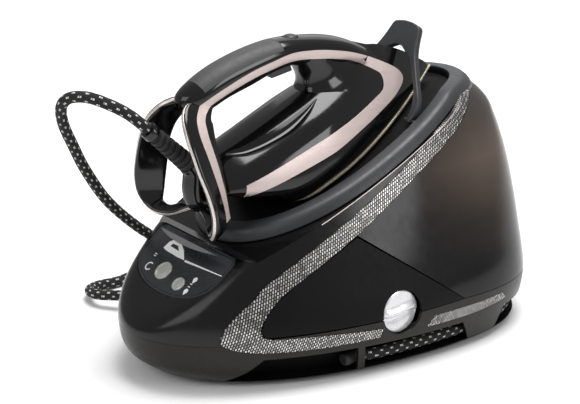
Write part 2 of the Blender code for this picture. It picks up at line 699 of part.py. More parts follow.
def grip_loft(name, start, end, outer, inner, lift=0.0, material=None):
    """A half-round cover over the top of the handle, lifted off it a little."""
    rings = []
    steps = 6
    for k in range(steps + 1):
        u, w, slope, tall, wide = handle_at(start + (end - start) * k / steps)
        outside = handle_ring(u, w + lift, slope, tall, wide, outer)[:HANDLE_SIDES // 2 + 1]
        inside = handle_ring(u, w + lift, slope, tall, wide, inner)[:HANDLE_SIDES // 2 + 1]
        rings.append(outside + list(reversed(inside)))
    return loft(name, rings, material)


def make_handle():
    handle = loft("iron_handle", [handle_ring(*station) for station in HANDLE], "gloss_black")
    pillar = loft("cutter_pillar", [pillar_ring(*level) for level in PILLAR])
    boolean(handle, pillar, "UNION")
    body = shell_solid("cutter_body_in_handle", 5 * GAP, 4, SHELL_TOP + 3 * GAP)
    cut(handle, body, grip_loft("cutter_grip_seat", GRIP_FROM - GAP, GRIP_TO + GAP, 3, -GRIP_THICK - 2 * GAP))
    grip_loft("handle_grip", GRIP_FROM, GRIP_TO, 0, -GRIP_THICK, GAP, "soft_grip")
    up = iron_direction(0, 0.35, 0.937)
    seat = on_iron(0, 119, 116)
    cut(handle, rod("cutter_boost_seat", seat, seat + up * 20, 8.0))
    turned("boost_button", ((0, 7.5), (3, 7.5), (6, 6), (7, 3.5)), seat + up * 3.2, up, "satin_grey")
    loft("steam_trigger", [trigger_ring(lift, 0) for lift in (0, 8)], "rubber")
    cut(handle, loft("cutter_trigger_seat", [trigger_ring(lift, 0.6) for lift in (-8, 11.6)]))


def trigger_ring(lift, grow):
    """The steam trigger's outline under the handle: a plate that follows the handle's underside."""
    half, rear, front = 8 + grow, 84 - grow, 108 + grow
    corners = ((-half, rear, 102.5), (half, rear, 102.5), (half, front, 96.5), (-half, front, 96.5))
    return [on_iron(x, u, w + lift) for x, u, w in corners]


def pillar_ring(w, rear, front, half):
    points = []
    for k in range(20):
        angle = 2 * math.pi * k / 20
        across = math.copysign(abs(math.cos(angle)) ** 0.8, math.cos(angle))
        along = math.copysign(abs(math.sin(angle)) ** 0.8, math.sin(angle))
        points.append(on_iron(half * across, (rear + front) / 2 + (front - rear) / 2 * along, w))
    return points


def leg_ring(place, before, after, width, thickness, side):
    forward = (after - before).normalized()
    outward = Vector((side, 0, 0)) + iron_direction(0, 0, 0.8)
    outward = (outward - forward * outward.dot(forward)).normalized()
    broad = forward.cross(outward)
    corners = ((1, 1), (-1, 1), (-1, -1), (1, -1))
    return [place + outward * (a * thickness / 2) + broad * (b * width / 2) for a, b in corners]


def make_heel():
    handle = loft("cutter_handle_in_leg", [handle_ring(*station, 0.4) for station in HANDLE])
    body = shell_solid("cutter_body_in_leg", GAP, 4, SHELL_TOP + GAP)
    socket = loft("cutter_socket_in_leg", socket_rings(9.5 + GAP))
    for side, word in ((1, "right"), (-1, "left")):
        places = [on_iron(side * x, u, w) for x, u, w, _, _ in LEG]
        rings = []
        for k, station in enumerate(LEG):
            before, after = places[max(k - 1, 0)], places[min(k + 1, len(LEG) - 1)]
            rings.append(leg_ring(places[k], before, after, station[3], station[4], side))
        cut(loft(f"heel_leg_{word}", rings, "gloss_black"), handle, body, socket)


def socket_rings(radius):
    """Rings along the neck that carries the cord out of the heel."""
    places = smooth_line([on_iron(0, -8, 28), on_iron(0, -29, 36), on_iron(0, -30, 50), (0, -141, 186), (0, *SOCKET_END)], 9)
    rings = []
    for k, place in enumerate(places):
        forward = (places[min(k + 1, len(places) - 1)] - places[max(k - 1, 0)]).normalized()
        if k == len(places) - 1:
            forward = Vector(BOOT_AXIS)
        across = Vector((1, 0, 0))
        up = forward.cross(across).normalized()
        turns = [2 * math.pi * j / 16 for j in range(16)]
        rings.append([place + (across * math.cos(a) + up * math.sin(a)) * radius for a in turns])
    return rings


def make_swivel():
    cut(loft("cord_socket", socket_rings(9.5), "gloss_black"), shell_solid("cutter_body_in_socket", GAP, 4, SHELL_TOP + GAP))
    start = Vector((0, *SOCKET_END)) + Vector(BOOT_AXIS) * GAP
    profile = [(0, 9)]
    ribs = 6
    for k in range(ribs):
        at = 2 + (BOOT_LENGTH - 4) * k / ribs
        wide = 9 - 1.6 * k / ribs
        profile += [(at, wide), (at + 4, wide), (at + 4.6, wide - 1.4), (at + 7, wide - 1.4)]
    profile.append((BOOT_LENGTH, 7.2))
    turned("cord_boot", profile, start, BOOT_AXIS, "rubber", 14)
    collar = start + Vector(BOOT_AXIS) * (BOOT_LENGTH + GAP)
    turned("cord_collar", ((0, 8.4), (COLLAR_LENGTH - 1, 8.4), (COLLAR_LENGTH, 7.4)), collar, BOOT_AXIS, "gloss_black", 20)
    return collar + Vector(BOOT_AXIS) * (COLLAR_LENGTH + 1)


def groove_points():
    """The middle of the cord groove, from the left side round the rear to the right side."""
    ring = body_ring(GROOVE_Z, GROOVE_INSET, 72)
    rear = ring[:37]
    left = [p for p in ring[37:54] if p[1] > GROOVE_START_Y]
    right = [p for p in ring[54:] if p[1] > GROOVE_END_Y]
    return list(reversed(left)) + list(reversed(rear)) + list(reversed(right))


def make_cord(start):
    route = [start, start + Vector(BOOT_AXIS) * 6, *CORD_AIR, *CORD_FLOOR, *groove_points()]
    route.append((GLAND_X, GLAND_END_Y + 2.4, GROOVE_Z))
    tube("steam_cord", smooth_line(route, 26), CORD_RADIUS, "textile")


# ---------------------------------------------------------------- origins of the moving pieces

def place_origins():
    """Put each moving piece's origin on its joint's axis, without moving its shape."""
    socket_end = (0, *SOCKET_END)
    pivots = (
        (on_iron(0, ARCH_U, ARCH_W), ("lock_arch",)),
        ((0, *TANK_VALVE_AT), ("water_tank", "tank_valve")),
        ((0, *FLAP_HINGE), ("tank_flap",)),
        (on_panel(*POWER_AT, 0), ("power_button",)),
        (on_panel(*ECO_AT, 0), ("eco_button",)),
        ((COVER_X, *PORT_AT), ("collector_cover", "scale_collector")),
        (on_iron(0, 96, 99.5), ("steam_trigger",)),
        (on_iron(0, 119, 116), ("boost_button",)),
        (socket_end, ("cord_boot", "cord_collar")),
        (on_iron(0, 0, 0), (
            "soleplate", "steam_chamber", "iron_shell", "body_trim_left", "body_trim_right",
            "iron_handle", "handle_grip", "heel_leg_left", "heel_leg_right", "cord_socket",
        )),
    )
    for point, names in pivots:
        for name in names:
            thing = bpy.data.objects[name]
            thing.data.transform(Matrix.Translation(-Vector(point) * MM))
            thing.location = Vector(point) * MM


clear_scene()
FINISH = make_finishes()
BASE = make_base_frame()
make_tray()
make_feet()
make_skirt()
make_front_casing()
make_sides()
make_iron_rest()
make_lock_arch()
make_control_panel()
make_boiler()
make_pipes()
make_tank_deck()
make_tank()
make_glands()
make_sole()
make_shell()
make_handle()
make_heel()
make_cord(make_swivel())
place_origins()
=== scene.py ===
"""The looks of a steam generator iron: an iron parked on its boiler base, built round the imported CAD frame.

Points in the tables are millimetres in the tables' frame; place() takes them to the scene's metres.
X goes across, -Y is the front with the control panel, +Y the rear with the water tank.
"""

import json
import math

import bmesh
import bpy
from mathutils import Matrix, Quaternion, Vector
from mathutils.bvhtree import BVHTree

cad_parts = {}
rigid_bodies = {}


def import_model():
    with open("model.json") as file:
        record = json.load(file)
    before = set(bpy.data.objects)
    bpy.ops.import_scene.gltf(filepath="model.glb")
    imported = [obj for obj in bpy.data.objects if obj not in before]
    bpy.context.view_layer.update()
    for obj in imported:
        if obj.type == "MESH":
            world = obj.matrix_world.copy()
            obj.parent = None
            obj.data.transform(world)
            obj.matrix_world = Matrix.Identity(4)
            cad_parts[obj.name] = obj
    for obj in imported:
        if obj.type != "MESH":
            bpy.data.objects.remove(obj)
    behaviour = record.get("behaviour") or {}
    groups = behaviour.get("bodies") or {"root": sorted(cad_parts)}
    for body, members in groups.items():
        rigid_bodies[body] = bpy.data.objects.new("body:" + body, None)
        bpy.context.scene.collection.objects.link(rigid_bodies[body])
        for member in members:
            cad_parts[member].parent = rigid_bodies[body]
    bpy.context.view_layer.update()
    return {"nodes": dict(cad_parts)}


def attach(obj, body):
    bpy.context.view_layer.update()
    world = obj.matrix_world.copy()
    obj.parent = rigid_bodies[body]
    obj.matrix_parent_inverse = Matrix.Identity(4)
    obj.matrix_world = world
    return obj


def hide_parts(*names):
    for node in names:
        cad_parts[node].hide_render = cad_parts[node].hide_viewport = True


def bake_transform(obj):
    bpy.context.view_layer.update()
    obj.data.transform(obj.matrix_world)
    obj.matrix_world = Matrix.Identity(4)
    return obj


MM = 0.001
GAP = 0.3          # between faces that meet
WALL = 3.0         # thickness of the moulded casings
TANK_WALL = 2.6
FAR = 300.0        # beyond every face of the object, for cutters
ROUND = 160        # points round the body
STEP = 3.5         # between the levels of a loft
GROUND = -2.5      # level of the surface that the feet stand on
MIDDLE_Y = 0.75    # y of the middle of the base
BODY_TOP = 223.5   # level of the body's top behind the iron rest
SHOULDER_FROM = 203    # level where the body starts to round over towards its top
SHOULDER = 9       # how far it comes in there

# --- the body: level z, front y, rear y, half width, y of the widest place
SECTIONS = (
    (0, -182, 203, 131, 66), (20, -207, 210, 135, 66), (45, -213.5, 215, 137.5, 66),
    (65, -211.5, 214, 135, 66), (90, -202, 213, 127, 69), (120, -182, 211, 117, 75),
    (150, -154, 207, 107, 81), (180, -109, 201, 95, 89), (210, -49, 192.5, 80, 99),
    (235, 11, 183.5, 65, 106), (252, 50, 178, 50, 110),
)
FRONT_POWER = 2.0
REAR_POWER = ((0, 2.7), (120, 2.6), (180, 2.5), (252, 2.1))

# --- side-view lines of the body, as (y, z)
SKIRT_TOP = ((-240, 46), (-165, 46), (-140, 51), (73, 51), (240, 44))
SKIRT_BOTTOM = 5.5
STRIP_LOW = (
    (-21, 44), (-85, 48.5), (-127, 51), (-135, 57), (-133, 66), (-118, 83), (-96, 97), (-34, 128.5),
    (40, 168), (96, 196), (136, 218), (190, 238),
)
STRIP_HIGH = (
    (190, 247.4), (80, 201.8), (10, 166.5), (-112, 104), (-134, 88), (-152, 74), (-163, 62), (-167, 50),
    (-158, 43), (-134, 38), (-85, 36), (-26, 35.5),
)
BAND = ((27, 34), (36, 43.5), (126, 42), (134, 35), (80, 33))
SIDE_PANEL = ((-132, 52.4), (73, 51.3), (-32, 128), (-96, 97), (-118, 83), (-131, 69), (-135, 59))
TANK = ((73, 51.3), (240, 44.3), (240, 255), (190, 238), (136, 218), (96, 196), (40, 168), (-32, 129.5))
WINDOWS = (
    ((-158, 0), (-158, 4), (-133, 31), (-47, 29.5), (-43, 0)),
    ((-36, 0), (-40, 29), (73, 26.5), (86, 0)),
    ((118, 0), (132, 27), (192, 26), (192, 0)),
)
RIDGE = (-133, 119.3)      # the ridge over the control panel
RIDGE_ROUND = 6.0
RIDGE_BLEND = 11.0         # how widely the panel's plane rounds into the sides
PANEL_TILT = math.radians(38)
PANEL_HALF, PANEL_TOP, PANEL_BOTTOM = 60, 2, 64

# --- the parked iron's frame: distance along the sole u, height over it w, sideways x
IRON_ORIGIN = Vector((0, -95, 133.7))
IRON_TILT = math.radians(22.5)
CASING_TOP = -3.86
SOLE_LENGTH = 262
SOLE_HALF = 57
WIDEST_U = 90
NOSE_POWER = 1.6
HEEL_POWER = 4.5
# level w, rear u, nose u, half width
SHELL = (
    (5.2, 32, 259, 55), (12, 26, 256, 54.8), (20, 14, 250, 54), (30, -1, 242, 52), (40, -14, 233, 49),
    (48, -22, 225, 45), (56, -21, 216, 38), (63, -15, 207, 29), (68, -6, 198, 20), (71, 5, 190, 11),
)
SHELL_FOOT, SHELL_TOP = 5.2, 71
# the rose-gold loop on the iron's side, as (u, w) of its outer edge and of its inner edge across from it:
# along the body, round the nose, back along the handle and down the heel leg
LOOP = (
    (-3, 36, 2, 47), (45, 31, 50, 44), (90, 26, 96, 41), (130, 24, 135, 37), (167, 21, 167, 34),
    (198, 19, 182, 33), (216, 24, 190, 40), (207, 43, 187, 50), (165, 85, 160, 79),
    (118, 114, 114, 107), (85, 123, 83, 116), (50, 128, 50, 121), (4, 128, 5, 121), (-16, 119, -9, 112),
    (-26, 90, -18, 86), (-38, 38, -31, 37),
)
# the scooped hollow on each flank of the body: u, its upper edge (x, w), its lower edge (x, w) and its depth
SCOOP = (
    (7, 11, 70.2, 15, 69.2, 0.3), (14, 14, 69.6, 24, 65.6, 1.4), (24, 17.5, 68.9, 29.8, 62.2, 2.2),
    (45, 21.5, 67.4, 34, 59.4, 2.8), (71, 23.2, 66.4, 35.5, 58.2, 2.8), (95, 23, 66.2, 31, 61.2, 2.0),
    (113, 22, 66.1, 23.2, 65.4, 0.3),
)

# --- handle: u, w, slope in degrees, half height, half width
HANDLE = (
    (-9, 126, 12, 9, 8), (-5, 127, 9, 13, 12), (8, 128, 4, 15.5, 16), (35, 128.5, -2, 16.5, 17.5),
    (65, 125, -8, 16.5, 18), (92, 120.5, -14, 14.5, 18), (112, 114, -22, 13.5, 18),
    (132, 103, -33, 14, 18.5), (150, 92, -38, 14, 20), (168, 80, -39, 12, 20), (183, 66, -42, 10, 18),
)
PILLAR = (
    (50, 92, 218, 31), (55, 95, 213, 29.5), (60, 98, 207.5, 26.5), (65, 102.5, 202, 23),
    (70, 109, 196, 20.8), (76, 114.5, 189, 19.4), (84, 116.5, 180, 18.8), (92, 116, 170.5, 18.6),
    (100, 116, 160, 18.5), (108, 118, 144, 18),
)
HANDLE_POWER = 2.3
GRIP_FROM, GRIP_TO, GRIP_THICK = 12, 100, 2.0
GRIP_EDGE = math.radians(24)
# heel leg on +X: x, u, w, band width, band thickness, turn of the band's face towards the nose in degrees
LEG = (
    (7, 14, 122, 14, 8, 0), (13, 2, 123, 22, 8, 4), (20.5, -8, 121.5, 30, 7.5, 8),
    (31, -17, 112, 31, 7.5, 14), (41.5, -25, 95, 30, 7, 20), (50.5, -32, 73, 30, 7, 25),
    (56, -38.5, 54, 29, 7, 25), (56, -43.5, 40, 25, 7, 18), (49, -47, 29, 16, 7, 8),
    (36, -44, 24.5, 10, 7, 0), (23, -36, 26.5, 9, 7, 0), (8, -30, 31, 9, 7, 0),
)
LEG_MIDDLE = 75    # w of the middle of the loop that a leg makes

# --- lock arch: in its own plane, x and s up the arch; its foot is at u, w and it leans towards the nose
ARCH_U, ARCH_W, ARCH_LEAN = 182, 4, math.radians(53)
ARCH_THICK = 7
ARCH_OUTER = ((57.5, -3), (60, 9), (57, 21), (46, 36), (29.5, 59), (23, 73), (19, 86), (15, 89), (5, 91))
ARCH_INNER = ((51, -3), (52, 9), (49, 20), (41, 34), (22, 55), (9, 63.5), (3, 66.5))

# --- control panel, as (x, distance down the slope)
PANEL_BUTTONS = (("power", (-12.5, 44), 9.5), ("eco", (17, 48.5), 7.0))    # word, place, radius
# height over a button's foot, and inset from its radius: a cap with a shallow ring pressed into it
BUTTON_PROFILE = (
    (0, 0), (5.0, 0), (5.6, 0.3), (6.0, 1.0), (6.0, 2.2), (5.7, 2.6), (5.7, 3.6), (6.0, 4.0),
)

# --- scale collector's cover
PORT_AT = (-0.5, 54.6)
COVER_X, COVER_RADIUS = 121.3, 20.5

# --- cord of the iron
CORD_RADIUS = 5.25
GROOVE_INSET, GROOVE_Z = 10.7, 14
GROOVE_START_Y, GROOVE_END_Y = -32, -28
GLAND_X, GLAND_END_Y = 110.5, -37
SOCKET_END, SOCKET_RADIUS = (-146, 195), 9.5
BOOT_AXIS = Vector((0, -0.716, 0.698))
BOOT_LENGTH, COLLAR_LENGTH = 50, 8
CORD_AIR = (
    (-3, -205, 252), (-10, -218, 261), (-23, -233, 268), (-38, -243, 266), (-51, -244.5, 255),
    (-64, -236, 234.5), (-78, -219, 207), (-93, -198, 174.5), (-108, -166.5, 132.5), (-122, -124.5, 92),
    (-134, -82, 60), (-147, -42, 34), (-160, -6, 15),
)
CORD_FLOOR = (
    (-178, 20, 5), (-202, 28, 3), (-223, 14, 3), (-230, -13, 3), (-221, -44, 3),
    (-208, -74, 3), (-200, -101, 3.2), (-201, -125, 4), (-191, -142, 6.5), (-171, -146, 9.5),
    (-154, -136, 11.5), (-138, -121, 13), (-123, -101, 14), (-112, -77, 14), (-108.5, -56, 14),
)


# ---------------------------------------------------------------- scene, camera and light

def clear_scene():
    for thing in list(bpy.data.objects):
        bpy.data.objects.remove(thing, do_unlink=True)


def look_from(name, data, place_at, target):
    thing = bpy.data.objects.new(name, data)
    thing.location = place_at
    thing.rotation_euler = (Vector(target) - Vector(place_at)).to_track_quat("-Z", "Y").to_euler()
    bpy.context.scene.collection.objects.link(thing)
    return thing


CAMERA_TARGET = Vector((0, -0.00975, 0.1325))
CAMERA_AZIMUTH, CAMERA_ELEVATION = math.radians(52), math.radians(20)
CAMERA_DISTANCE = 1.7
CAMERA_LENS, CAMERA_SENSOR = 109.74, 36
CAMERA_SHIFT = (-0.0301, -0.0044)
# name, place in metres, width, height and power in watts; each looks at LIT_AT
SOFTBOXES = (
    ("softbox_top", (0.0, 0.35, 2.0), 1.3, 1.3, 52),
    ("softbox_front", (0.3, -2.2, 1.5), 2.0, 1.4, 20),
    ("softbox_side", (2.3, 0.9, 1.2), 0.8, 1.3, 18),
    ("softbox_back", (-1.8, 1.6, 1.4), 2.2, 1.6, 8),
)
LIT_AT = (0, 0, 0.12)
SKY_STRENGTH = 0.42
FLOOR_REACH = 9.0


def make_camera():
    flat = math.cos(CAMERA_ELEVATION)
    back = Vector((
        math.sin(CAMERA_AZIMUTH) * flat,
        -math.cos(CAMERA_AZIMUTH) * flat,
        math.sin(CAMERA_ELEVATION),
    ))
    data = bpy.data.cameras.new("camera")
    data.lens = CAMERA_LENS
    data.sensor_width = CAMERA_SENSOR
    data.shift_x, data.shift_y = CAMERA_SHIFT
    camera = look_from("camera", data, CAMERA_TARGET + back * CAMERA_DISTANCE, CAMERA_TARGET)
    bpy.context.scene.camera = camera


def softbox(name, place_at, width, height, watts):
    data = bpy.data.lights.new(name, "AREA")
    data.shape = "RECTANGLE"
    data.size = width
    data.size_y = height
    data.energy = watts
    look_from(name, data, place_at, LIT_AT)


def make_light():
    world = bpy.data.worlds.new("studio")
    bpy.context.scene.world = world
    world.use_nodes = True
    sky = world.node_tree.nodes["Background"]
    sky.inputs["Color"].default_value = (1.0, 1.0, 1.0, 1)
    sky.inputs["Strength"].default_value = SKY_STRENGTH
    bpy.context.scene.view_settings.view_transform = "Standard"
    for row in SOFTBOXES:
        softbox(*row)


def make_floor():
    mesh = bpy.data.meshes.new("floor")
    signs = ((-1, -1), (1, -1), (1, 1), (-1, 1))
    mesh.from_pydata([(x * FLOOR_REACH, y * FLOOR_REACH, 0) for x, y in signs], [], [(0, 1, 2, 3)])
    floor = bpy.data.objects.new("floor", mesh)
    bpy.context.scene.collection.objects.link(floor)
    mesh.materials.append(MATERIALS["floor"])


# ---------------------------------------------------------------- materials

class Paint:
    """A material whose colour, roughness and bump are built up from procedural nodes."""

    def __init__(self, name, colour, roughness, **sockets):
        self.material = bpy.data.materials.new(name)
        self.material.use_nodes = True
        self.tree = self.material.node_tree
        self.shader = self.tree.nodes["Principled BSDF"]
        self.shader.inputs["Base Color"].default_value = (*colour, 1)
        self.shader.inputs["Roughness"].default_value = roughness
        for socket, value in sockets.items():
            self.shader.inputs[socket.replace("_", " ")].default_value = value
        self.coordinates = self.add("ShaderNodeTexCoord").outputs["Object"]
        self.normal = None
        self.material.diffuse_color = (*colour, 1)

    def add(self, kind, **inputs):
        node = self.tree.nodes.new(kind)
        for name, value in inputs.items():
            self.set(node.inputs[name.replace("_", " ")], value)
        return node

    def set(self, socket, value):
        if isinstance(value, bpy.types.NodeSocket):
            self.tree.links.new(value, socket)
        else:
            socket.default_value = value

    def math(self, operation, first, second=0.0):
        node = self.tree.nodes.new("ShaderNodeMath")
        node.operation = operation
        self.set(node.inputs[0], first)
        self.set(node.inputs[1], second)
        return node.outputs[0]

    def mapped(self, turn=(0, 0, 0), scale=(1, 1, 1)):
        """The object's coordinates in millimetres, turned and then scaled."""
        mapping = self.add("ShaderNodeMapping", Vector=self.coordinates)
        mapping.inputs["Rotation"].default_value = turn
        stretched = self.add("ShaderNodeVectorMath")
        stretched.operation = "MULTIPLY"
        self.set(stretched.inputs[0], mapping.outputs[0])
        stretched.inputs[1].default_value = [s / MM for s in scale]
        return stretched.outputs[0]

    def noise(self, size, detail, scale=(1, 1, 1)):
        """Noise whose features are about size millimetres."""
        vector = self.mapped(scale=[s / size for s in scale])
        return self.add("ShaderNodeTexNoise", Vector=vector, Scale=1.0, Detail=detail).outputs["Fac"]

    def ramp(self, fac, stops):
        node = self.add("ShaderNodeValToRGB", Fac=fac)
        node.color_ramp.elements[0].position = stops[0][0]
        node.color_ramp.elements[0].color = (*stops[0][1], 1)
        node.color_ramp.elements[1].position = stops[-1][0]
        node.color_ramp.elements[1].color = (*stops[-1][1], 1)
        for position, colour in stops[1:-1]:
            node.color_ramp.elements.new(position).color = (*colour, 1)
        return node.outputs["Color"]

    def level(self, fac, low, high, start=0.0, end=1.0):
        node = self.add("ShaderNodeMapRange", Value=fac)
        for name, value in (("From Min", start), ("From Max", end), ("To Min", low), ("To Max", high)):
            node.inputs[name].default_value = value
        return node.outputs[0]

    def mix(self, fac, first, second):
        node = self.tree.nodes.new("ShaderNodeMix")
        node.data_type = "RGBA"
        self.set(node.inputs[0], fac)
        self.set(node.inputs[6], first if isinstance(first, bpy.types.NodeSocket) else (*first, 1))
        self.set(node.inputs[7], second if isinstance(second, bpy.types.NodeSocket) else (*second, 1))
        return node.outputs[2]

    def colour(self, value):
        self.set(self.shader.inputs["Base Color"], value)
        return self

    def roughness(self, noise, low, high):
        """Roughness between two values, from a noise that mostly stays between 0.3 and 0.7."""
        self.set(self.shader.inputs["Roughness"], self.level(noise, low, high, 0.3, 0.7))
        return self

    def bump(self, height, depth, strength=0.6):
        """Bump from a height between 0 and 1 that stands for depth millimetres."""
        node = self.add("ShaderNodeBump", Height=height, Strength=strength, Distance=depth * MM)
        if self.normal:
            self.set(node.inputs["Normal"], self.normal)
        self.normal = node.outputs[0]
        self.set(self.shader.inputs["Normal"], self.normal)
        return self


def plastic(name, colour, roughness, grain, depth, **sockets):
    """Moulded plastic: slightly uneven colour and gloss, and a fine grain."""
    paint = Paint(name, colour, roughness, **sockets)
    patches = paint.noise(38, 3)
    dark = [c * 0.82 for c in colour]
    light = [c * 1.16 for c in colour]
    paint.colour(paint.mix(patches, dark, light))
    paint.roughness(paint.noise(6, 4), roughness * 0.85, roughness * 1.2)
    return paint.bump(paint.noise(grain, 2), depth)


def metal(name, colour, roughness, brushed_along, depth, metallic):
    """Metal or metal paint with a brushed grain that runs along one axis."""
    paint = Paint(name, colour, roughness, Metallic=metallic)
    streaks = paint.noise(1.2, 3, scale=[0.04 if axis == brushed_along else 1.0 for axis in "xyz"])
    paint.colour(paint.mix(streaks, [c * 0.86 for c in colour], [min(1, c * 1.1) for c in colour]))
    paint.roughness(streaks, roughness * 0.8, roughness * 1.25)
    return paint.bump(streaks, depth, 0.3)


def weave_paint():
    """Silver threads over black, in short diagonal floats, on the strips of the sides."""
    paint = Paint("woven_silver", (0.5, 0.5, 0.5), 0.36)
    brick = paint.add("ShaderNodeTexBrick", Scale=1.0)
    parts = paint.add("ShaderNodeSeparateXYZ", Vector=paint.mapped())
    slope = math.radians(72)
    along = paint.math("ADD", paint.math("MULTIPLY", parts.outputs[1], math.cos(slope)),
                       paint.math("MULTIPLY", parts.outputs[2], math.sin(slope)))
    across = paint.math("SUBTRACT", paint.math("MULTIPLY", parts.outputs[2], math.cos(slope)),
                        paint.math("MULTIPLY", parts.outputs[1], math.sin(slope)))
    turned = paint.add("ShaderNodeCombineXYZ", X=along, Y=across)
    paint.set(brick.inputs["Vector"], turned.outputs[0])
    brick.inputs["Color1"].default_value = (0.75, 0.73, 0.7, 1)
    brick.inputs["Color2"].default_value = (0.11, 0.105, 0.1, 1)
    brick.inputs["Mortar"].default_value = (0.003, 0.003, 0.003, 1)
    brick.inputs["Mortar Size"].default_value = 0.56
    brick.inputs["Mortar Smooth"].default_value = 0.1
    brick.inputs["Bias"].default_value = -0.15
    brick.inputs["Brick Width"].default_value = 3.2
    brick.inputs["Row Height"].default_value = 2.0
    paint.colour(brick.outputs["Color"])
    solid_part = paint.math("SUBTRACT", 1.0, brick.outputs["Fac"])
    paint.set(paint.shader.inputs["Metallic"], paint.level(solid_part, 0.0, 0.7))
    return paint.bump(solid_part, 0.25, 0.6)


def smoked_paint():
    """Smoked tank plastic whose colour carries painted light and shade: a painted warm-brown glow across the
    middle height and painted shade, nearly black, below and in front; blue-grey at the top and darker towards
    the rear end.
    """
    paint = Paint("smoked_tank", (0.05, 0.045, 0.04), 0.2, Specular_IOR_Level=0.22)
    parts = paint.add("ShaderNodeSeparateXYZ", Vector=paint.mapped())
    height = paint.level(parts.outputs[2], 0.0, 1.0, 40, 262)
    # painted glow and shade by height: nearly black below, a painted warm-brown glow across the middle,
    # blue-grey at the top
    painted_glow_and_shade = paint.ramp(height, (
        (0.0, (0.003, 0.003, 0.0035)), (0.16, (0.0045, 0.0045, 0.005)), (0.36, (0.022, 0.017, 0.014)),
        (0.6, (0.078, 0.059, 0.047)), (0.78, (0.036, 0.030, 0.027)), (1.0, (0.006, 0.007, 0.009)),
    ))
    # painted shade: nearly black towards the front
    front = paint.level(parts.outputs[1], 1.0, 0.0, 20, 120)
    shaded = paint.mix(front, painted_glow_and_shade, (0.006, 0.006, 0.007))
    # darker towards the rear end
    rear = paint.level(parts.outputs[1], 0.0, 0.5, 185, 212)
    paint.colour(paint.mix(rear, shaded, (0.012, 0.011, 0.011)))
    paint.roughness(paint.noise(9, 3), 0.13, 0.2)
    return paint.bump(paint.noise(24, 1), 0.05, 0.3)


def dotted_grip_paint():
    """Soft-touch grip with rows of small round dimples, painted darker in their hollows as painted shade."""
    paint = Paint("soft_grip", (0.03, 0.03, 0.032), 0.5, Specular_IOR_Level=0.35)
    vector = paint.mapped((-IRON_TILT, 0, 0), (1 / 2.7, 1 / 2.7, 0.002))
    cells = paint.add("ShaderNodeTexVoronoi", Vector=vector, Scale=1.0, Randomness=0.0)
    dimple = paint.level(cells.outputs["Distance"], 0.0, 1.0, 0.2, 0.42)
    # painted shade: the dimples' hollows are painted darker than the grip around them
    paint.colour(paint.mix(dimple, (0.006, 0.006, 0.006), (0.045, 0.045, 0.047)))
    paint.roughness(paint.noise(4, 3), 0.5, 0.62)
    return paint.bump(dimple, 0.35, 0.9)


def braid_paint():
    """Black braided sleeve with rows of white flecks and painted shade between the threads; its UVs run along
    the cord and round it.
    """
    paint = Paint("textile_braid", (0.02, 0.02, 0.02), 0.8, Specular_IOR_Level=0.3)
    run = paint.add("ShaderNodeSeparateXYZ", Vector=paint.add("ShaderNodeUVMap").outputs[0])
    along, around = run.outputs[0], run.outputs[1]
    thread, threads_round, fleck_rows, fleck_pitch = 2.1, 9, 8, 11.0
    run_along = paint.math("DIVIDE", along, thread)
    run_round = paint.math("MULTIPLY", around, threads_round)
    first = paint.math("FRACT", paint.math("ADD", run_along, run_round))
    second = paint.math("FRACT", paint.math("SUBTRACT", run_along, run_round))
    over = paint.math("MULTIPLY", paint.math("SINE", paint.math("MULTIPLY", first, math.pi)),
                      paint.math("SINE", paint.math("MULTIPLY", second, math.pi)))
    row = paint.math("MULTIPLY", around, fleck_rows)
    half_pitch = paint.math("MULTIPLY", paint.math("FLOOR", row), 0.5)
    shifted = paint.math("ADD", paint.math("DIVIDE", along, fleck_pitch), half_pitch)
    off_middle = paint.math("ABSOLUTE", paint.math("SUBTRACT", paint.math("FRACT", row), 0.5))
    in_row = paint.math("LESS_THAN", off_middle, 0.19)
    on_run = paint.math("LESS_THAN", paint.math("FRACT", shifted), 0.28)
    broken = paint.math("GREATER_THAN", paint.math("FRACT", run_along), 0.22)
    split = paint.math("GREATER_THAN", off_middle, 0.035)
    fleck = paint.math("MULTIPLY", in_row, split)
    for limit in (on_run, broken):
        fleck = paint.math("MULTIPLY", fleck, limit)
    # painted shade: the black is darker between the threads than on their crowns
    black = paint.mix(over, (0.004, 0.004, 0.004), (0.022, 0.022, 0.023))
    paint.colour(paint.mix(fleck, black, (0.78, 0.76, 0.73)))
    return paint.bump(over, 0.5, 0.9)


def knob_paint():
    """Turned metal with fine circular marks and a few dull scuffs."""
    paint = Paint("brushed_chrome", (0.6, 0.6, 0.61), 0.26, Metallic=0.45)
    marks = paint.noise(1.3, 3, scale=(1, 0.12, 1))
    scuffs = paint.noise(7, 4)
    paint.colour(paint.mix(paint.level(scuffs, 0, 1, 0.5, 0.75), (0.62, 0.62, 0.63), (0.5, 0.5, 0.51)))
    paint.roughness(marks, 0.22, 0.34)
    return paint.bump(marks, 0.015, 0.3)


def skirt_paint():
    """Bronze-black lacquer with a fine metallic flake."""
    paint = Paint("bronze_lacquer", (0.012, 0.010, 0.008), 0.34, Specular_IOR_Level=0.26)
    flake = paint.add("ShaderNodeTexVoronoi", Vector=paint.mapped(scale=(2.5, 2.5, 2.5)), Scale=1.0)
    spark = paint.level(flake.outputs["Distance"], 1.0, 0.0, 0.05, 0.4)
    paint.colour(paint.mix(spark, (0.006, 0.005, 0.0042), (0.022, 0.018, 0.015)))
    paint.roughness(paint.noise(12, 3), 0.26, 0.36)
    return paint.bump(paint.noise(1.0, 2), 0.01)


def floor_paint():
    paint = Paint("floor", (0.86, 0.86, 0.86), 0.7, Specular_IOR_Level=0.2)
    paint.colour(paint.mix(paint.noise(300, 2), (0.85, 0.85, 0.85), (0.87, 0.87, 0.87)))
    return paint.bump(paint.noise(3, 2), 0.05, 0.1)


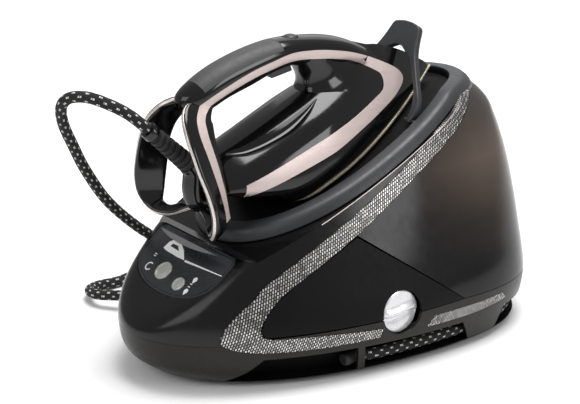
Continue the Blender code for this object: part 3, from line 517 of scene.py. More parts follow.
# name: colour, roughness, size of the grain, depth of the grain, and any other sockets of the shader
PLASTICS = {
    "gloss_black": ((0.003, 0.003, 0.0034), 0.2, 2.4, 0.008, {"Specular_IOR_Level": 0.3}),
    "piano_black": ((0.003, 0.003, 0.003), 0.1, 3.0, 0.006, {"Specular_IOR_Level": 0.45}),
    "matte_black": ((0.0036, 0.0036, 0.0036), 0.45, 0.8, 0.04, {"Specular_IOR_Level": 0.1}),
    "satin_grey": ((0.022, 0.023, 0.026), 0.42, 0.9, 0.02, {"Specular_IOR_Level": 0.42}),
    "panel_grey": ((0.019, 0.020, 0.023), 0.26, 1.0, 0.01, {"Specular_IOR_Level": 0.35}),
    "silver_button": ((0.42, 0.42, 0.4), 0.34, 0.8, 0.02, {"Metallic": 0.5}),
    "white_mark": ((0.75, 0.75, 0.75), 0.5, 0.6, 0.02, {}),
    "rubber": ((0.014, 0.014, 0.014), 0.62, 0.9, 0.06, {"Specular_IOR_Level": 0.35}),
    "white_plastic": ((0.7, 0.7, 0.68), 0.42, 1.2, 0.03, {}),
    "circuit_board": ((0.02, 0.12, 0.05), 0.4, 2.0, 0.1, {}),
}
# name: colour, roughness, the axis that the brushing runs along, depth of the grain, metallic
METALS = {
    "rose_gold": ((0.56, 0.465, 0.445), 0.42, "y", 0.002, 0.45),
    "aluminium": ((0.66, 0.66, 0.66), 0.38, "z", 0.03, 1.0),
    "sole_gold": ((0.80, 0.72, 0.56), 0.24, "y", 0.002, 0.8),
    "steel": ((0.6, 0.6, 0.6), 0.24, "z", 0.02, 1.0),
    "silver_line": ((0.66, 0.60, 0.57), 0.3, "y", 0.004, 0.6),
}


def make_materials():
    paints = {name: plastic(name, *values, **sockets) for name, (*values, sockets) in PLASTICS.items()}
    paints.update((name, metal(name, *values)) for name, values in METALS.items())
    paints.update({
        "chrome": knob_paint(),
        "bronze": skirt_paint(),
        "woven_silver": weave_paint(),
        "smoked_tank": smoked_paint(),
        "soft_grip": dotted_grip_paint(),
        "braid": braid_paint(),
        "floor": floor_paint(),
    })
    return {name: paint.material for name, paint in paints.items()}


# ---------------------------------------------------------------- meshes

def place(point):
    """A point of the tables' frame, in the scene's metres."""
    x, y, z = point
    return Vector((x, y - MIDDLE_Y, z - GROUND)) * MM


def solid(name, points, faces):
    """A closed mesh through points of the tables' frame, with its faces turned outwards."""
    mesh = bpy.data.meshes.new(name)
    mesh.from_pydata([place(p) for p in points], [], faces)
    shape = bmesh.new()
    shape.from_mesh(mesh)
    bmesh.ops.recalc_face_normals(shape, faces=shape.faces)
    shape.to_mesh(mesh)
    shape.free()
    thing = bpy.data.objects.new(name, mesh)
    bpy.context.scene.collection.objects.link(thing)
    return thing


def bridged(count, levels, closed):
    """Quads that join each ring of points to the next, and the last to the first where closed."""
    faces = []
    for level in range(levels if closed else levels - 1):
        low, high = level * count, (level + 1) % levels * count
        for k in range(count):
            after = (k + 1) % count
            faces.append((low + k, low + after, high + after, high + k))
    return faces


def loft(name, rings):
    """A solid through rings of points, with flat ends."""
    count = len(rings[0])
    faces = bridged(count, len(rings), False)
    faces.append(tuple(range(count)))
    faces.append(tuple(range((len(rings) - 1) * count, len(rings) * count)))
    return solid(name, [p for ring in rings for p in ring], faces)


def loop_loft(name, rings):
    """A ring-shaped solid: the last ring of points joins the first."""
    return solid(name, [p for ring in rings for p in ring], bridged(len(rings[0]), len(rings), True))


def prism(name, outline, low, high):
    """An outline of (y, z) points extruded along X."""
    return loft(name, [[(x, y, z) for y, z in outline] for x in (low, high)])


def turned(name, profile, centre, axis, sides=64):
    """A profile of (distance along the axis, radius) turned about an axis through a centre."""
    along = Vector(axis).normalized()
    side = along.orthogonal().normalized()
    other = along.cross(side)
    turns = [2 * math.pi * k / sides for k in range(sides)]
    rings = []
    for distance, radius in profile:
        middle = Vector(centre) + along * distance
        rings.append([middle + (side * math.cos(a) + other * math.sin(a)) * radius for a in turns])
    return loft(name, rings)


def rod(name, start, end, radius, sides=48):
    length = (Vector(end) - Vector(start)).length
    return turned(name, ((0, radius), (length, radius)), start, Vector(end) - Vector(start), sides)


def block(name, low, high):
    outline = [(low[1], low[2]), (high[1], low[2]), (high[1], high[2]), (low[1], high[2])]
    return prism(name, outline, low[0], high[0])


def settle(thing):
    """Make the object's modifiers part of its mesh."""
    graph = bpy.context.evaluated_depsgraph_get()
    made = bpy.data.meshes.new_from_object(thing.evaluated_get(graph))
    thing.modifiers.clear()
    old = thing.data
    thing.data = made
    bpy.data.meshes.remove(old)
    return thing


def boolean(thing, tool, operation):
    modifier = thing.modifiers.new("boolean", "BOOLEAN")
    modifier.operation = operation
    modifier.object = tool
    modifier.solver = "EXACT"
    settle(thing)
    bpy.data.objects.remove(tool, do_unlink=True)
    return thing


def cut(thing, *tools):
    for tool in tools:
        boolean(thing, tool, "DIFFERENCE")
    return thing


def keep(thing, tool):
    return boolean(thing, tool, "INTERSECT")


def bevelled(thing, width, segments=3, angle=35):
    modifier = thing.modifiers.new("bevel", "BEVEL")
    modifier.width = width * MM
    modifier.segments = segments
    modifier.limit_method = "ANGLE"
    modifier.angle_limit = math.radians(angle)
    modifier.use_clamp_overlap = True
    return settle(thing)


def dress(thing, material, body, nodes=(), sharp=32):
    """Finish a piece: its material, the body it rides on and the CAD nodes that it stands for."""
    thing.data.materials.clear()
    thing.data.materials.append(MATERIALS[material])
    thing.data.shade_smooth()
    thing.data.set_sharp_from_angle(angle=math.radians(sharp))
    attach(thing, body)
    if nodes:
        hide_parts(*nodes)
    return thing


def offset(outline, distance):
    """The outline moved outwards by a distance, or inwards where it is negative."""
    points = [Vector(p) for p in outline]
    area = sum(a.x * b.y - b.x * a.y for a, b in zip(points, points[1:] + points[:1]))
    turn = math.copysign(1, area)
    moved = []
    for k, point in enumerate(points):
        before = (point - points[k - 1]).normalized()
        after = (points[(k + 1) % len(points)] - point).normalized()
        normals = [Vector((e.y, -e.x)) * turn for e in (before, after)]
        middle = normals[0] + normals[1]
        moved.append(tuple(point + middle * distance / max(middle.length_squared / 2, 0.3)))
    return moved


def smooth_line(points, step):
    """Points every step along a Catmull-Rom curve through the given points."""
    places = [Vector(p) for p in points]
    ends = [2 * places[0] - places[1], *places, 2 * places[-1] - places[-2]]
    fine = [places[0]]
    for a, b, c, d in zip(ends, ends[1:], ends[2:], ends[3:]):
        for k in range(1, 17):
            t = k / 16
            squared = (2 * a - 5 * b + 4 * c - d) * t * t
            cubed = (3 * b - a - 3 * c + d) * t ** 3
            fine.append(0.5 * (2 * b + (c - a) * t + squared + cubed))
    length = sum((b - a).length for a, b in zip(fine, fine[1:]))
    count = max(2, round(length / step))
    spaced, walked, wanted = [fine[0]], 0.0, length / count
    for a, b in zip(fine, fine[1:]):
        reach = (b - a).length
        while walked + reach >= wanted * len(spaced) - 1e-6 and len(spaced) < count:
            spaced.append(a.lerp(b, (wanted * len(spaced) - walked) / reach))
        walked += reach
    spaced.append(fine[-1])
    return spaced


def length_of(points):
    return sum((b - a).length for a, b in zip(points, points[1:]))


def curved(line):
    """A smooth line through (a, b) points, with a point every 3 mm."""
    return [(p.x, p.y) for p in smooth_line([(a, b, 0) for a, b in line], 3.0)]


def evenly_curved(line, parts):
    """A smooth line through (a, b) points, with each stretch in as many parts as the next."""
    table = [(k, a, b) for k, (a, b) in enumerate(line)]
    stops = [k / parts for k in range(parts * (len(line) - 1) + 1)]
    return [(smooth(table, at, 1), smooth(table, at, 2)) for at in stops]


def smooth(table, at, column):
    """The table's column at a level, on a smooth curve through its rows."""
    k = 0
    while k < len(table) - 2 and at > table[k + 1][0]:
        k += 1
    low, high = table[k], table[k + 1]
    before, after = table[max(k - 1, 0)], table[min(k + 2, len(table) - 1)]
    span = high[0] - low[0]
    t = min(max((at - low[0]) / span, 0.0), 1.0)
    start = (high[column] - before[column]) / (high[0] - before[0]) * span
    end = (after[column] - low[column]) / (after[0] - low[0]) * span
    bend = (2 * t ** 3 - 3 * t * t + 1) * low[column] + (3 * t * t - 2 * t ** 3) * high[column]
    return bend + (t ** 3 - 2 * t * t + t) * start + (t ** 3 - t * t) * end


def spread(low, high, step=STEP):
    count = max(1, round((high - low) / step))
    return [low + (high - low) * k / count for k in range(count + 1)]


def power(value, exponent):
    return math.copysign(abs(value) ** exponent, value)


def larger(a, b, blend):
    """The larger of two numbers, rounded off where they are nearly equal."""
    share = min(max(0.5 + 0.5 * (a - b) / blend, 0.0), 1.0)
    return b + (a - b) * share + blend * share * (1 - share)


# ---------------------------------------------------------------- the body's outline

def panel_point(down, out):
    """A point of the control panel, as (y, z): down the slope from the ridge, and out of its plane."""
    return (
        RIDGE[0] - down * math.cos(PANEL_TILT) - out * math.sin(PANEL_TILT),
        RIDGE[1] - down * math.sin(PANEL_TILT) + out * math.cos(PANEL_TILT),
    )


def on_panel(x, down, out):
    return Vector((x, *panel_point(down, out)))


def body_ring(z, inset=0.0, count=ROUND):
    """Points round the body at one level, from the +X side towards the rear."""
    front, rear, half, middle = (smooth(SECTIONS, z, column) for column in (1, 2, 3, 4))
    inset += SHOULDER * (max(z - SHOULDER_FROM, 0) / (BODY_TOP - SHOULDER_FROM)) ** 2
    points = []
    for k in range(count):
        angle = 2 * math.pi * k / count
        across, along = math.cos(angle), math.sin(angle)
        exponent = 2 / (smooth(REAR_POWER, z, 1) if along > 0 else FRONT_POWER)
        length = (rear - middle if along > 0 else middle - front) - inset
        points.append(((half - inset) * power(across, exponent), middle + length * power(along, exponent), z))
    return points


def body_side(y, z):
    """How far out the body's skin is at a point of the side view."""
    ring = body_ring(z)[:ROUND // 4] + body_ring(z)[3 * ROUND // 4:]
    nearest = sorted(ring, key=lambda p: abs(p[1] - y))[:2]
    (x, a, _), (other, b, _) = nearest
    return x + (other - x) * (y - a) / (b - a)


def faceted_ring(z, inset=0.0, count=ROUND):
    """The body's ring with its front flattened to the control panel's plane, round at the ridge."""
    slope = RIDGE[0] - (RIDGE[1] - z) / math.tan(PANEL_TILT) + inset / math.sin(PANEL_TILT)
    rise = min(max(z - (RIDGE[1] - RIDGE_ROUND), 0.0), RIDGE_ROUND)
    slope += RIDGE_ROUND - math.sqrt(RIDGE_ROUND ** 2 - rise * rise)
    ring = body_ring(z, inset, count)
    if z >= RIDGE[1] + 1:
        return ring
    return [(x, larger(y, slope, RIDGE_BLEND), z) for x, y, z in ring]


def body_solid(name, inset, low, high, ring=body_ring, count=ROUND):
    return loft(name, [ring(z, inset, count) for z in spread(low, high)])


def body_shell(name, low, high, outer=0.0, inner=WALL):
    heights = spread(low, high)
    rings = [body_ring(z, outer) for z in heights]
    rings += [body_ring(z, inner) for z in reversed(heights)]
    return loop_loft(name, rings)


def side_box(outline, side, nearest=25.0, grow=0.0):
    """A cutter that holds one side of the body, within an outline of the side view."""
    low, high = sorted((side * nearest, side * FAR))
    return prism("side_cutter", offset(outline, grow) if grow else outline, low, high)


STRIP = curved(STRIP_LOW) + curved(STRIP_HIGH)


# ---------------------------------------------------------------- the parked iron's frame

def on_iron(x, u, w):
    along = Vector((0, math.cos(IRON_TILT), math.sin(IRON_TILT)))
    up = Vector((0, -math.sin(IRON_TILT), math.cos(IRON_TILT)))
    return IRON_ORIGIN + Vector((x, 0, 0)) + along * u + up * w


def iron_direction(x, u, w):
    return on_iron(x, u, w) - on_iron(0, 0, 0)


def iron_line(u, w):
    point = on_iron(0, u, w)
    return (point.y, point.z)


def iron_outline(w, rear, nose, half, count=ROUND):
    """Points round the iron at one level: a blunt heel and a pointed nose."""
    points = []
    for k in range(count):
        angle = 2 * math.pi * k / count
        across, along = math.cos(angle), math.sin(angle)
        if along > 0:
            x = math.copysign(half * (1 - along ** NOSE_POWER), across)
            u = WIDEST_U + (nose - WIDEST_U) * along
        else:
            x = half * power(across, 2 / HEEL_POWER)
            u = WIDEST_U - (WIDEST_U - rear) * abs(along) ** (2 / HEEL_POWER)
        if k == count // 4:
            x = 0
        points.append(on_iron(x, u, w))
    return points


# ---------------------------------------------------------------- the base

def make_tray():
    profile = (
        (2.6, 4.5), (2.9, 2.6), (3.6, 1.5), (5.0, 1.2), (5.1, 16.0), (5.2, 18.0), (33, 18.0), (33, 20.5),
        (5.4, 20.5),
    )
    tray = loft("tray", [body_ring(z, inset) for z, inset in profile])
    cut(tray, rod("cutter", (GLAND_X, -53, GROOVE_Z), (GLAND_X, -20, GROOVE_Z), 6.6))
    dress(tray, "matte_black", "base", ["base_tray"])


def make_skirt():
    skirt = body_shell("skirt", SKIRT_BOTTOM, 60)
    keep(skirt, prism("cutter", [(-240, -5), *SKIRT_TOP, (240, -5)], -FAR, FAR))
    for side in (1, -1):
        for window in WINDOWS:
            cut(skirt, side_box(window, side, 60))
        cut(skirt, side_box(STRIP, side, grow=GAP))
        cut(skirt, side_box(BAND, side, grow=GAP))
    cut(skirt, rod("cutter", (100, *PORT_AT), (160, *PORT_AT), COVER_RADIUS + 0.6, 64))
    cut(skirt, rod("cutter", (0, 180, 31), (0, 230, 31), 9))
    dress(skirt, "bronze", "base", ["lower_skirt"])


def make_casing():
    seat_front = iron_line(-34, CASING_TOP)
    outline = [(y, z + GAP) for y, z in SKIRT_TOP[:3]]
    outline += [(-148, 60), (-136, 76), (-104, 99), (40, 176), (190, 243), iron_line(300, CASING_TOP)]
    outline += [seat_front, (seat_front[0] - 1.5, RIDGE[1]), (-240, RIDGE[1])]
    casing = body_solid("casing", 0, 40, BODY_TOP, faceted_ring)
    keep(casing, prism("cutter", outline, -FAR, FAR))
    hollow = [(-235, 30), (-80, 30), (80, 150), (230, 215), iron_line(330, CASING_TOP - WALL)]
    hollow += [iron_line(-36, CASING_TOP - WALL), panel_point(4, -WALL), panel_point(130, -WALL)]
    inner = body_solid("cutter_inner", WALL, 30, BODY_TOP - WALL, count=64)
    keep(inner, prism("cutter", hollow, -FAR, FAR))
    cut(casing, inner, loft("cutter", [rest_ring(w, 11, 64) for w in (-14, 10)]))
    cut(casing, loft("cutter", [panel_ring(out, 0.5) for out in (-8, 8)]))
    for side in (1, -1):
        cut(casing, side_box(STRIP, side, nearest=-0.2, grow=GAP))
    dress(casing, "gloss_black", "base", ["front_casing"])


SIDE_LINE = ((0.4, 0.3), (0.4, -0.3), (-0.6, -0.3), (-0.6, 0.3))    # out of the body's skin, and up


def make_sides():
    for side, word in ((1, "right"), (-1, "left")):
        strip = keep(body_shell(f"strip_{word}", 30, BODY_TOP, -0.25), side_box(STRIP, side, grow=-GAP / 2))
        dress(strip, "woven_silver", "base", [f"pattern_strip_{word}"])
        band = keep(body_shell(f"band_{word}", 25, 50, -0.2), side_box(BAND, side))
        dress(band, "woven_silver", "base", [f"pattern_band_{word}"])
        panel = keep(body_shell(f"side_cheek_{word}", 45, 140), side_box(SIDE_PANEL, side, grow=-GAP))
        if side > 0:
            cut(panel, rod("cutter", (100, *PORT_AT), (160, *PORT_AT), COVER_RADIUS + 0.6, 64))
        dress(panel, "matte_black", "base", [f"side_panel_{word}"])
        rings = []
        for u in spread(34, 242, 4):
            y, z = iron_line(u, CASING_TOP - 0.4)
            x = body_side(y, z)
            rings.append([(side * (x + out), y, z + up) for out, up in SIDE_LINE])
        dress(loft(f"side_line_{word}", rings), "silver_line", "base")


DROOP_FROM = 228   # u where the iron rest starts to bend down to the level of the body's top
DROOP_SOFTNESS = 18
REST_INSET = 21    # from the outside of the iron rest to the foot of its inner wall


def rest_ring(w, inset, count):
    """Points round the iron rest: longer towards the nose of the iron, and bent to level behind it."""
    half, front, rear, middle = 90 - inset, -32 + inset, 292 - inset, 105
    points = []
    for k in range(count):
        angle = 2 * math.pi * k / count
        across, along = math.cos(angle), math.sin(angle)
        exponent = 2 / (2.0 if along > 0 else 2.15)
        length = rear - middle if along > 0 else middle - front
        u = middle + length * power(along, exponent)
        over = max(u - DROOP_FROM, 0.0)
        droop = math.tan(IRON_TILT) * over ** 2 / (over + DROOP_SOFTNESS)
        points.append(on_iron(half * power(across, exponent), u, w - droop))
    return points


REST_PROFILE = (
    (-3.5, 0.9), (-3.0, 0.2), (-2.2, 0), (1.0, 1.3), (4.6, 4.2), (6.0, 5.9), (6.8, 8.0), (7.1, 11),
    (7.2, 17.6), (7.0, 18.6), (6.2, 19.2), (5.0, 19.5), (-1.5, REST_INSET),
)

WELL_PROFILE = (
    (-1.5, REST_INSET + 0.05), (4.6, 19.65), (4.9, 20.1), (4.4, 20.5), (-0.6, REST_INSET + 0.9),
    (-1.0, REST_INSET + 1.6),
)


def make_rest():
    rest = loft("rest", [rest_ring(w, inset, 240) for w, inset in REST_PROFILE])
    dress(rest, "satin_grey", "base", ["iron_rest"])
    well = loft("rest_well", [rest_ring(w, inset, 240) for w, inset in WELL_PROFILE])
    dress(well, "matte_black", "base")


def make_arch():
    up = (math.sin(ARCH_LEAN), math.cos(ARCH_LEAN))
    normal = (math.cos(ARCH_LEAN), -math.sin(ARCH_LEAN))
    outer, inner = curved(ARCH_OUTER), curved(ARCH_INNER)
    outline = outer + [(-x, s) for x, s in reversed(outer)]
    outline += [(-x, s) for x, s in inner] + inner[::-1]
    rings = []
    for depth in (-ARCH_THICK / 2, ARCH_THICK / 2):
        rings.append([
            on_iron(x, ARCH_U + s * up[0] + depth * normal[0], ARCH_W + s * up[1] + depth * normal[1])
            for x, s in outline
        ])
    arch = bevelled(loft("arch", rings), 1.6, 4, 50)
    for side in (1, -1):
        pin = [on_iron(side * x, ARCH_U, ARCH_W) for x in (40, 64)]
        cut(arch, rod("cutter", *pin, 2.3, 32))
    dress(arch, "satin_grey", "lock_arch", ["lock_arch"], 40)


# ---------------------------------------------------------------- control panel

def panel_ring(out, grow):
    """The control panel's outline: a straight top with round corners, and a round lower edge."""
    half, top, bottom = PANEL_HALF + grow, PANEL_TOP - grow, PANEL_BOTTOM + grow
    corner, side_end = 7.0 + grow, 26
    points = []
    for start, centre in ((0, half - corner), (90, corner - half)):
        for k in range(9):
            angle = math.radians(start + 90 * k / 8)
            points.append((centre + corner * math.cos(angle), top + corner - corner * math.sin(angle)))
    for k in range(1, 48):
        angle = math.pi * k / 48
        down = side_end + (bottom - side_end) * math.sin(angle) ** 0.9
        points.append((-half * power(math.cos(angle), 0.9), down))
    return [on_panel(x, down, out) for x, down in points]


def panel_mark(name, outline):
    """A thin raised mark on the panel, from an outline of (x, down)."""
    return loft(name, [[on_panel(x, down, out) for x, down in outline] for out in (-0.5, -0.2)])


def arc(centre, radius, start, end):
    turns = [math.radians(start + (end - start) * k / 20) for k in range(21)]
    return [(centre[0] + radius * math.cos(a), centre[1] + radius * math.sin(a)) for a in turns]


def ring_mark(name, centre, radius, width, start, end):
    outline = arc(centre, radius, start, end) + arc(centre, radius - width, end, start)
    return panel_mark(name, outline)


def make_panel():
    edge = ((-2.2, 0), (-0.6, 0), (-0.35, -0.25), (-0.3, -0.8))
    panel = loft("control_face", [panel_ring(out, grow) for out, grow in edge])
    for _, (x, down), radius in PANEL_BUTTONS:
        cut(panel, rod("cutter", on_panel(x, down, -6), on_panel(x, down, 6), radius + 0.4, 64))
    dress(panel, "panel_grey", "base", ["control_panel"], 8)
    line = ((-0.5, -2.4), (-0.24, -2.4), (-0.24, -3.1), (-0.5, -3.1))
    border = loop_loft("control_face_line", [panel_ring(out, grow) for out, grow in line])
    dress(border, "piano_black", "base")


def make_panel_buttons():
    axis = on_panel(0, 0, 1) - on_panel(0, 0, 0)
    for word, (x, down), radius in PANEL_BUTTONS:
        profile = [(high, radius - inset) for high, inset in BUTTON_PROFILE]
        button = turned(f"{word}_cap", profile, on_panel(x, down, -4.6), axis)
        dress(button, "silver_button", f"{word}_button", [f"{word}_button"])


def make_marks():
    body = [
        (-34, 16.5), (-31, 13.6), (-24, 12.6), (-17, 13.6), (-9, 18), (0.6, 26), (-10, 26.4), (-30, 25.6),
        (-35.4, 24.4),
    ]
    window = ((-28, 16.6), (-20, 16.4), (-14, 20.6), (-29, 20))
    iron = panel_mark("mark_iron", body)
    cut(iron, loft("cutter", [[on_panel(x, down, out) for x, down in window] for out in (-3, 3)]))
    trail = panel_mark("mark_trail", [(2, 25.2), (57, 22.7), (57, 23.4), (2, 27.4)])
    turn = ring_mark("mark_turn", (-34, 46.5), 4.6, 1.2, 30, 300)
    lines = [panel_mark(f"mark_tick_{k}", [(x, d), (x + 3.2, d), (x + 3.2, d + 0.9), (x, d + 0.9)])
             for k, (x, d) in enumerate(((29.4, 42.4), (29.4, 45.6), (-39.2, 32.4), (-39.2, 34.6)))]
    drops = []
    for k, (x, d) in enumerate(((31.5, 37.5), (31.5, 51))):
        outline = arc((x, d), 2.6, -200, 20) + [(x, d + 4.6)]
        drops.append(panel_mark(f"mark_drop_{k}", outline))
    for mark in [iron, trail, turn, *lines, *drops]:
        dress(mark, "white_mark", "base")


# ---------------------------------------------------------------- knob, tank and cord outlets

def make_cover():
    """The scale collector's cover: a round cap with a finger grip across it."""
    sides, radii = 96, 26
    turns = [2 * math.pi * k / sides for k in range(sides)]
    rim = ((COVER_X, COVER_RADIUS - 0.4), (COVER_X + 6.2, COVER_RADIUS))
    rings = [[(x, radius * math.cos(a), radius * math.sin(a)) for a in turns] for x, radius in rim]
    for j in range(radii):
        radius = (COVER_RADIUS - 0.7) * (1 - j / radii)
        ring = []
        for turn in turns:
            y, z = radius * math.cos(turn), radius * math.sin(turn)
            dome = 7.0 + 1.8 * (1 - (radius / COVER_RADIUS) ** 2)
            wave = z - 1.4 * math.sin(y / 6.5)
            lip = 2.6 * math.exp(-((wave - 1.6) / 4.2) ** 2) if wave > 1.6 else 2.6
            hollow = -2.4 * math.exp(-((wave + 3.2) / 6.0) ** 2) if wave < -3.2 else -2.4
            step = 1 / (1 + math.exp(-(wave + 1.0) / 0.45))
            grip = hollow + (lip - hollow) * step
            ring.append((COVER_X + dome + grip * (1 - (radius / COVER_RADIUS) ** 8), y, z))
        rings.append(ring)
    rings = [[(x, y + PORT_AT[0], z + PORT_AT[1]) for x, y, z in ring] for ring in rings]
    dress(loft("collector_knob", rings), "chrome", "collector_cover", ["collector_cover"], 50)


def make_tank():
    tank = body_solid("tank_shell", 0, 40, BODY_TOP)
    keep(tank, prism("cutter", offset(TANK, -GAP), -FAR, FAR))
    inner = body_solid("cutter_inner", TANK_WALL, 40, BODY_TOP - TANK_WALL, count=64)
    keep(inner, prism("cutter", offset(TANK, -GAP - TANK_WALL), -FAR, FAR))
    doorway = block("cutter", (-27, 180, 178), (27, 230, 204))
    valve_hole = rod("cutter", (0, 130, 40), (0, 130, 56), 9.2)
    cut(tank, inner, doorway, valve_hole)
    dress(tank, "smoked_tank", "tank", ["water_tank"])
    flap = body_shell("tank_lid", 175, 207, 0, 2.4)
    keep(flap, block("cutter", (-26.5, 150, 178.5), (26.5, 230, 203.5)))
    dress(flap, "smoked_tank", "tank_flap", ["tank_flap"])


# ---------------------------------------------------------------- the iron

def make_sole():
    levels = (
        (0, 43, SOLE_LENGTH - 8, SOLE_HALF - 5.5), (0.5, 42, SOLE_LENGTH - 7.4, SOLE_HALF - 5),
        (2.9, 37.6, SOLE_LENGTH - 0.6, SOLE_HALF - 0.5), (3.2, 37, SOLE_LENGTH, SOLE_HALF),
        (4.7, 37, SOLE_LENGTH, SOLE_HALF),
    )
    sole = loft("sole", [iron_outline(*level) for level in levels])
    dress(sole, "sole_gold", "iron", ["soleplate"])


def shell_ring(w, grow, nose_extra, count):
    held = min(max(w, SHELL[0][0]), SHELL[-1][0])
    rear, nose, half = (smooth(SHELL, held, column) for column in (1, 2, 3))
    return iron_outline(w, rear - grow, nose + grow + nose_extra * math.copysign(1, grow), half + grow, count)


def shell_solid(name, grow, low, high, nose_extra=0.0, count=ROUND, step=2.0):
    return loft(name, [shell_ring(w, grow, nose_extra, count) for w in spread(low, high, step)])


def scoop_cutter(side):
    """The solid that hollows one flank: lens-shaped across, and tapering to both ends."""
    rings = []
    for u in spread(SCOOP[0][0], SCOOP[-1][0], 2):
        top_x, top_w, foot_x, foot_w, depth = (smooth(SCOOP, u, column) for column in range(1, 6))
        top, foot = Vector((top_x, top_w)), Vector((foot_x, foot_w))
        chord = foot - top
        inward = Vector((chord.y, -chord.x)).normalized()
        ring = [top.lerp(foot, k / 16) + inward * depth * math.sin(math.pi * k / 16) for k in range(17)]
        ring += [foot - inward * 9, top - inward * 9]
        rings.append([on_iron(side * p.x, u, p.y) for p in ring])
    return loft("cutter", rings)


def make_shell():
    shell = loft("iron_body", [shell_ring(w, 0, 0, 256) for w in spread(SHELL_FOOT, SHELL_TOP, 0.8)])
    cut(shell, scoop_cutter(1), scoop_cutter(-1))
    cut(shell, shell_solid("cutter", -WALL - 7, -5, SHELL_TOP - WALL - 10, 3, 48, 6))
    dress(shell, "piano_black", "iron", ["iron_shell"])


def make_loop(side, word):
    """The rose-gold loop, laid on the iron's flank from the heel round the nose and back along the handle."""
    graph = bpy.context.evaluated_depsgraph_get()
    under = ("iron_body", "handle", f"leg_{word}")
    skins = [BVHTree.FromObject(bpy.data.objects[name], graph) for name in under]
    edges = [evenly_curved([row[first:first + 2] for row in LOOP], 10) for first in (0, 2)]
    rings, last = [], 30.0
    for outer, inner in zip(*edges):
        skin = []
        for k in range(7):
            u, w = (outer[axis] + (inner[axis] - outer[axis]) * k / 6 for axis in (0, 1))
            start = place(on_iron(side * 95, u, w))
            hits = [tree.ray_cast(start, Vector((-side, 0, 0)))[0] for tree in skins]
            reach = [abs(hit.x) / MM for hit in hits if hit and hit.x * side > 0]
            last = max(reach) if reach else last
            skin.append((last, u, w))
        ring = [on_iron(side * (x + 0.35), u, w) for x, u, w in skin]
        ring += [on_iron(side * (x - 1.2), u, w) for x, u, w in reversed(skin)]
        rings.append(ring)
    dress(loft(f"loop_{word}", rings), "rose_gold", "iron", [f"body_trim_{word}"], 50)


def handle_section(u):
    """The handle's section at u, on smooth curves through the ones in its table."""
    return [u] + [smooth(HANDLE, u, column) for column in (1, 2, 3, 4)]


def handle_point(angle, station, grow):
    u, w, slope, tall, wide = station
    tilt = math.radians(slope)
    across = power(math.cos(angle), 2 / HANDLE_POWER) * (wide + grow)
    up = power(math.sin(angle), 2 / HANDLE_POWER) * (tall + grow)
    return on_iron(across, u - up * math.sin(tilt), w + up * math.cos(tilt))


def handle_solid(name, grow=0.0):
    turns = [2 * math.pi * k / 64 for k in range(64)]
    rings = []
    for u in spread(HANDLE[0][0], HANDLE[-1][0], 3):
        rings.append([handle_point(a, handle_section(u), grow) for a in turns])
    return loft(name, rings)


def grip_solid(name, start, end, outer, inner, lift):
    turns = [GRIP_EDGE + (math.pi - 2 * GRIP_EDGE) * k / 32 for k in range(33)]
    rings = []
    for u in spread(start, end, 3):
        station = handle_section(u)
        station[1] += lift
        ring = [handle_point(a, station, outer) for a in turns]
        ring += [handle_point(a, station, inner) for a in reversed(turns)]
        rings.append(ring)
    return loft(name, rings)


def pillar_ring(w):
    """Points round the pillar under the front of the handle: round behind, drawn to a nose in front."""
    rear, front, half = (smooth(PILLAR, w, column) for column in (1, 2, 3))
    middle = rear + (front - rear) * 0.36
    count = 64
    points = []
    for k in range(count):
        angle = 2 * math.pi * k / count
        across, along = math.cos(angle), math.sin(angle)
        if along > 0:
            x, u = math.copysign(half * (1 - along ** 1.7), across), middle + (front - middle) * along
        else:
            x, u = half * power(across, 0.85), middle - (middle - rear) * abs(along) ** 0.85
        if k == count // 4:
            x = 0
        points.append(on_iron(x, u, w))
    return points


def trigger_ring(lift, grow):
    half, rear, front = 8 + grow, 84 - grow, 108 + grow
    corners = ((-half, rear, 102.5), (half, rear, 102.5), (half, front, 96.5), (-half, front, 96.5))
    return [on_iron(x, u, w + lift) for x, u, w in corners]


BOOST_AT = (119, 116)


def make_handle():
    handle = handle_solid("handle")
    boolean(handle, loft("cutter", [pillar_ring(w) for w in spread(PILLAR[0][0], PILLAR[-1][0], 3)]), "UNION")
    cut(handle, shell_solid("cutter", 0.2, 4, SHELL_TOP + 0.2, 0, ROUND, 2))
    cut(handle, grip_solid("cutter", GRIP_FROM - GAP, GRIP_TO + GAP, 3, -GRIP_THICK, 0))
    up = iron_direction(0, 0.35, 0.937)
    seat = on_iron(0, *BOOST_AT)
    cut(handle, rod("cutter", seat, seat + up * 20, 8.0))
    cut(handle, loft("cutter", [trigger_ring(lift, 0.6) for lift in (-8, 11.6)]))
    dress(handle, "piano_black", "iron", ["iron_handle"])
    grip = grip_solid("grip", GRIP_FROM, GRIP_TO, 0, -GRIP_THICK, 0.1)
    dress(grip, "soft_grip", "iron", ["handle_grip"])
    profile = ((0, 7.5), (3, 7.5), (4.5, 7.2), (6, 6), (6.8, 4.4), (7.1, 2.2))
    cap = turned("boost_cap", profile, seat + up * 3.2, up)
    dress(cap, "satin_grey", "boost_button", ["boost_button"])
    trigger = bevelled(loft("trigger_paddle", [trigger_ring(lift, 0) for lift in (0, 8)]), 1.6)
    dress(trigger, "satin_grey", "steam_trigger", ["steam_trigger"])


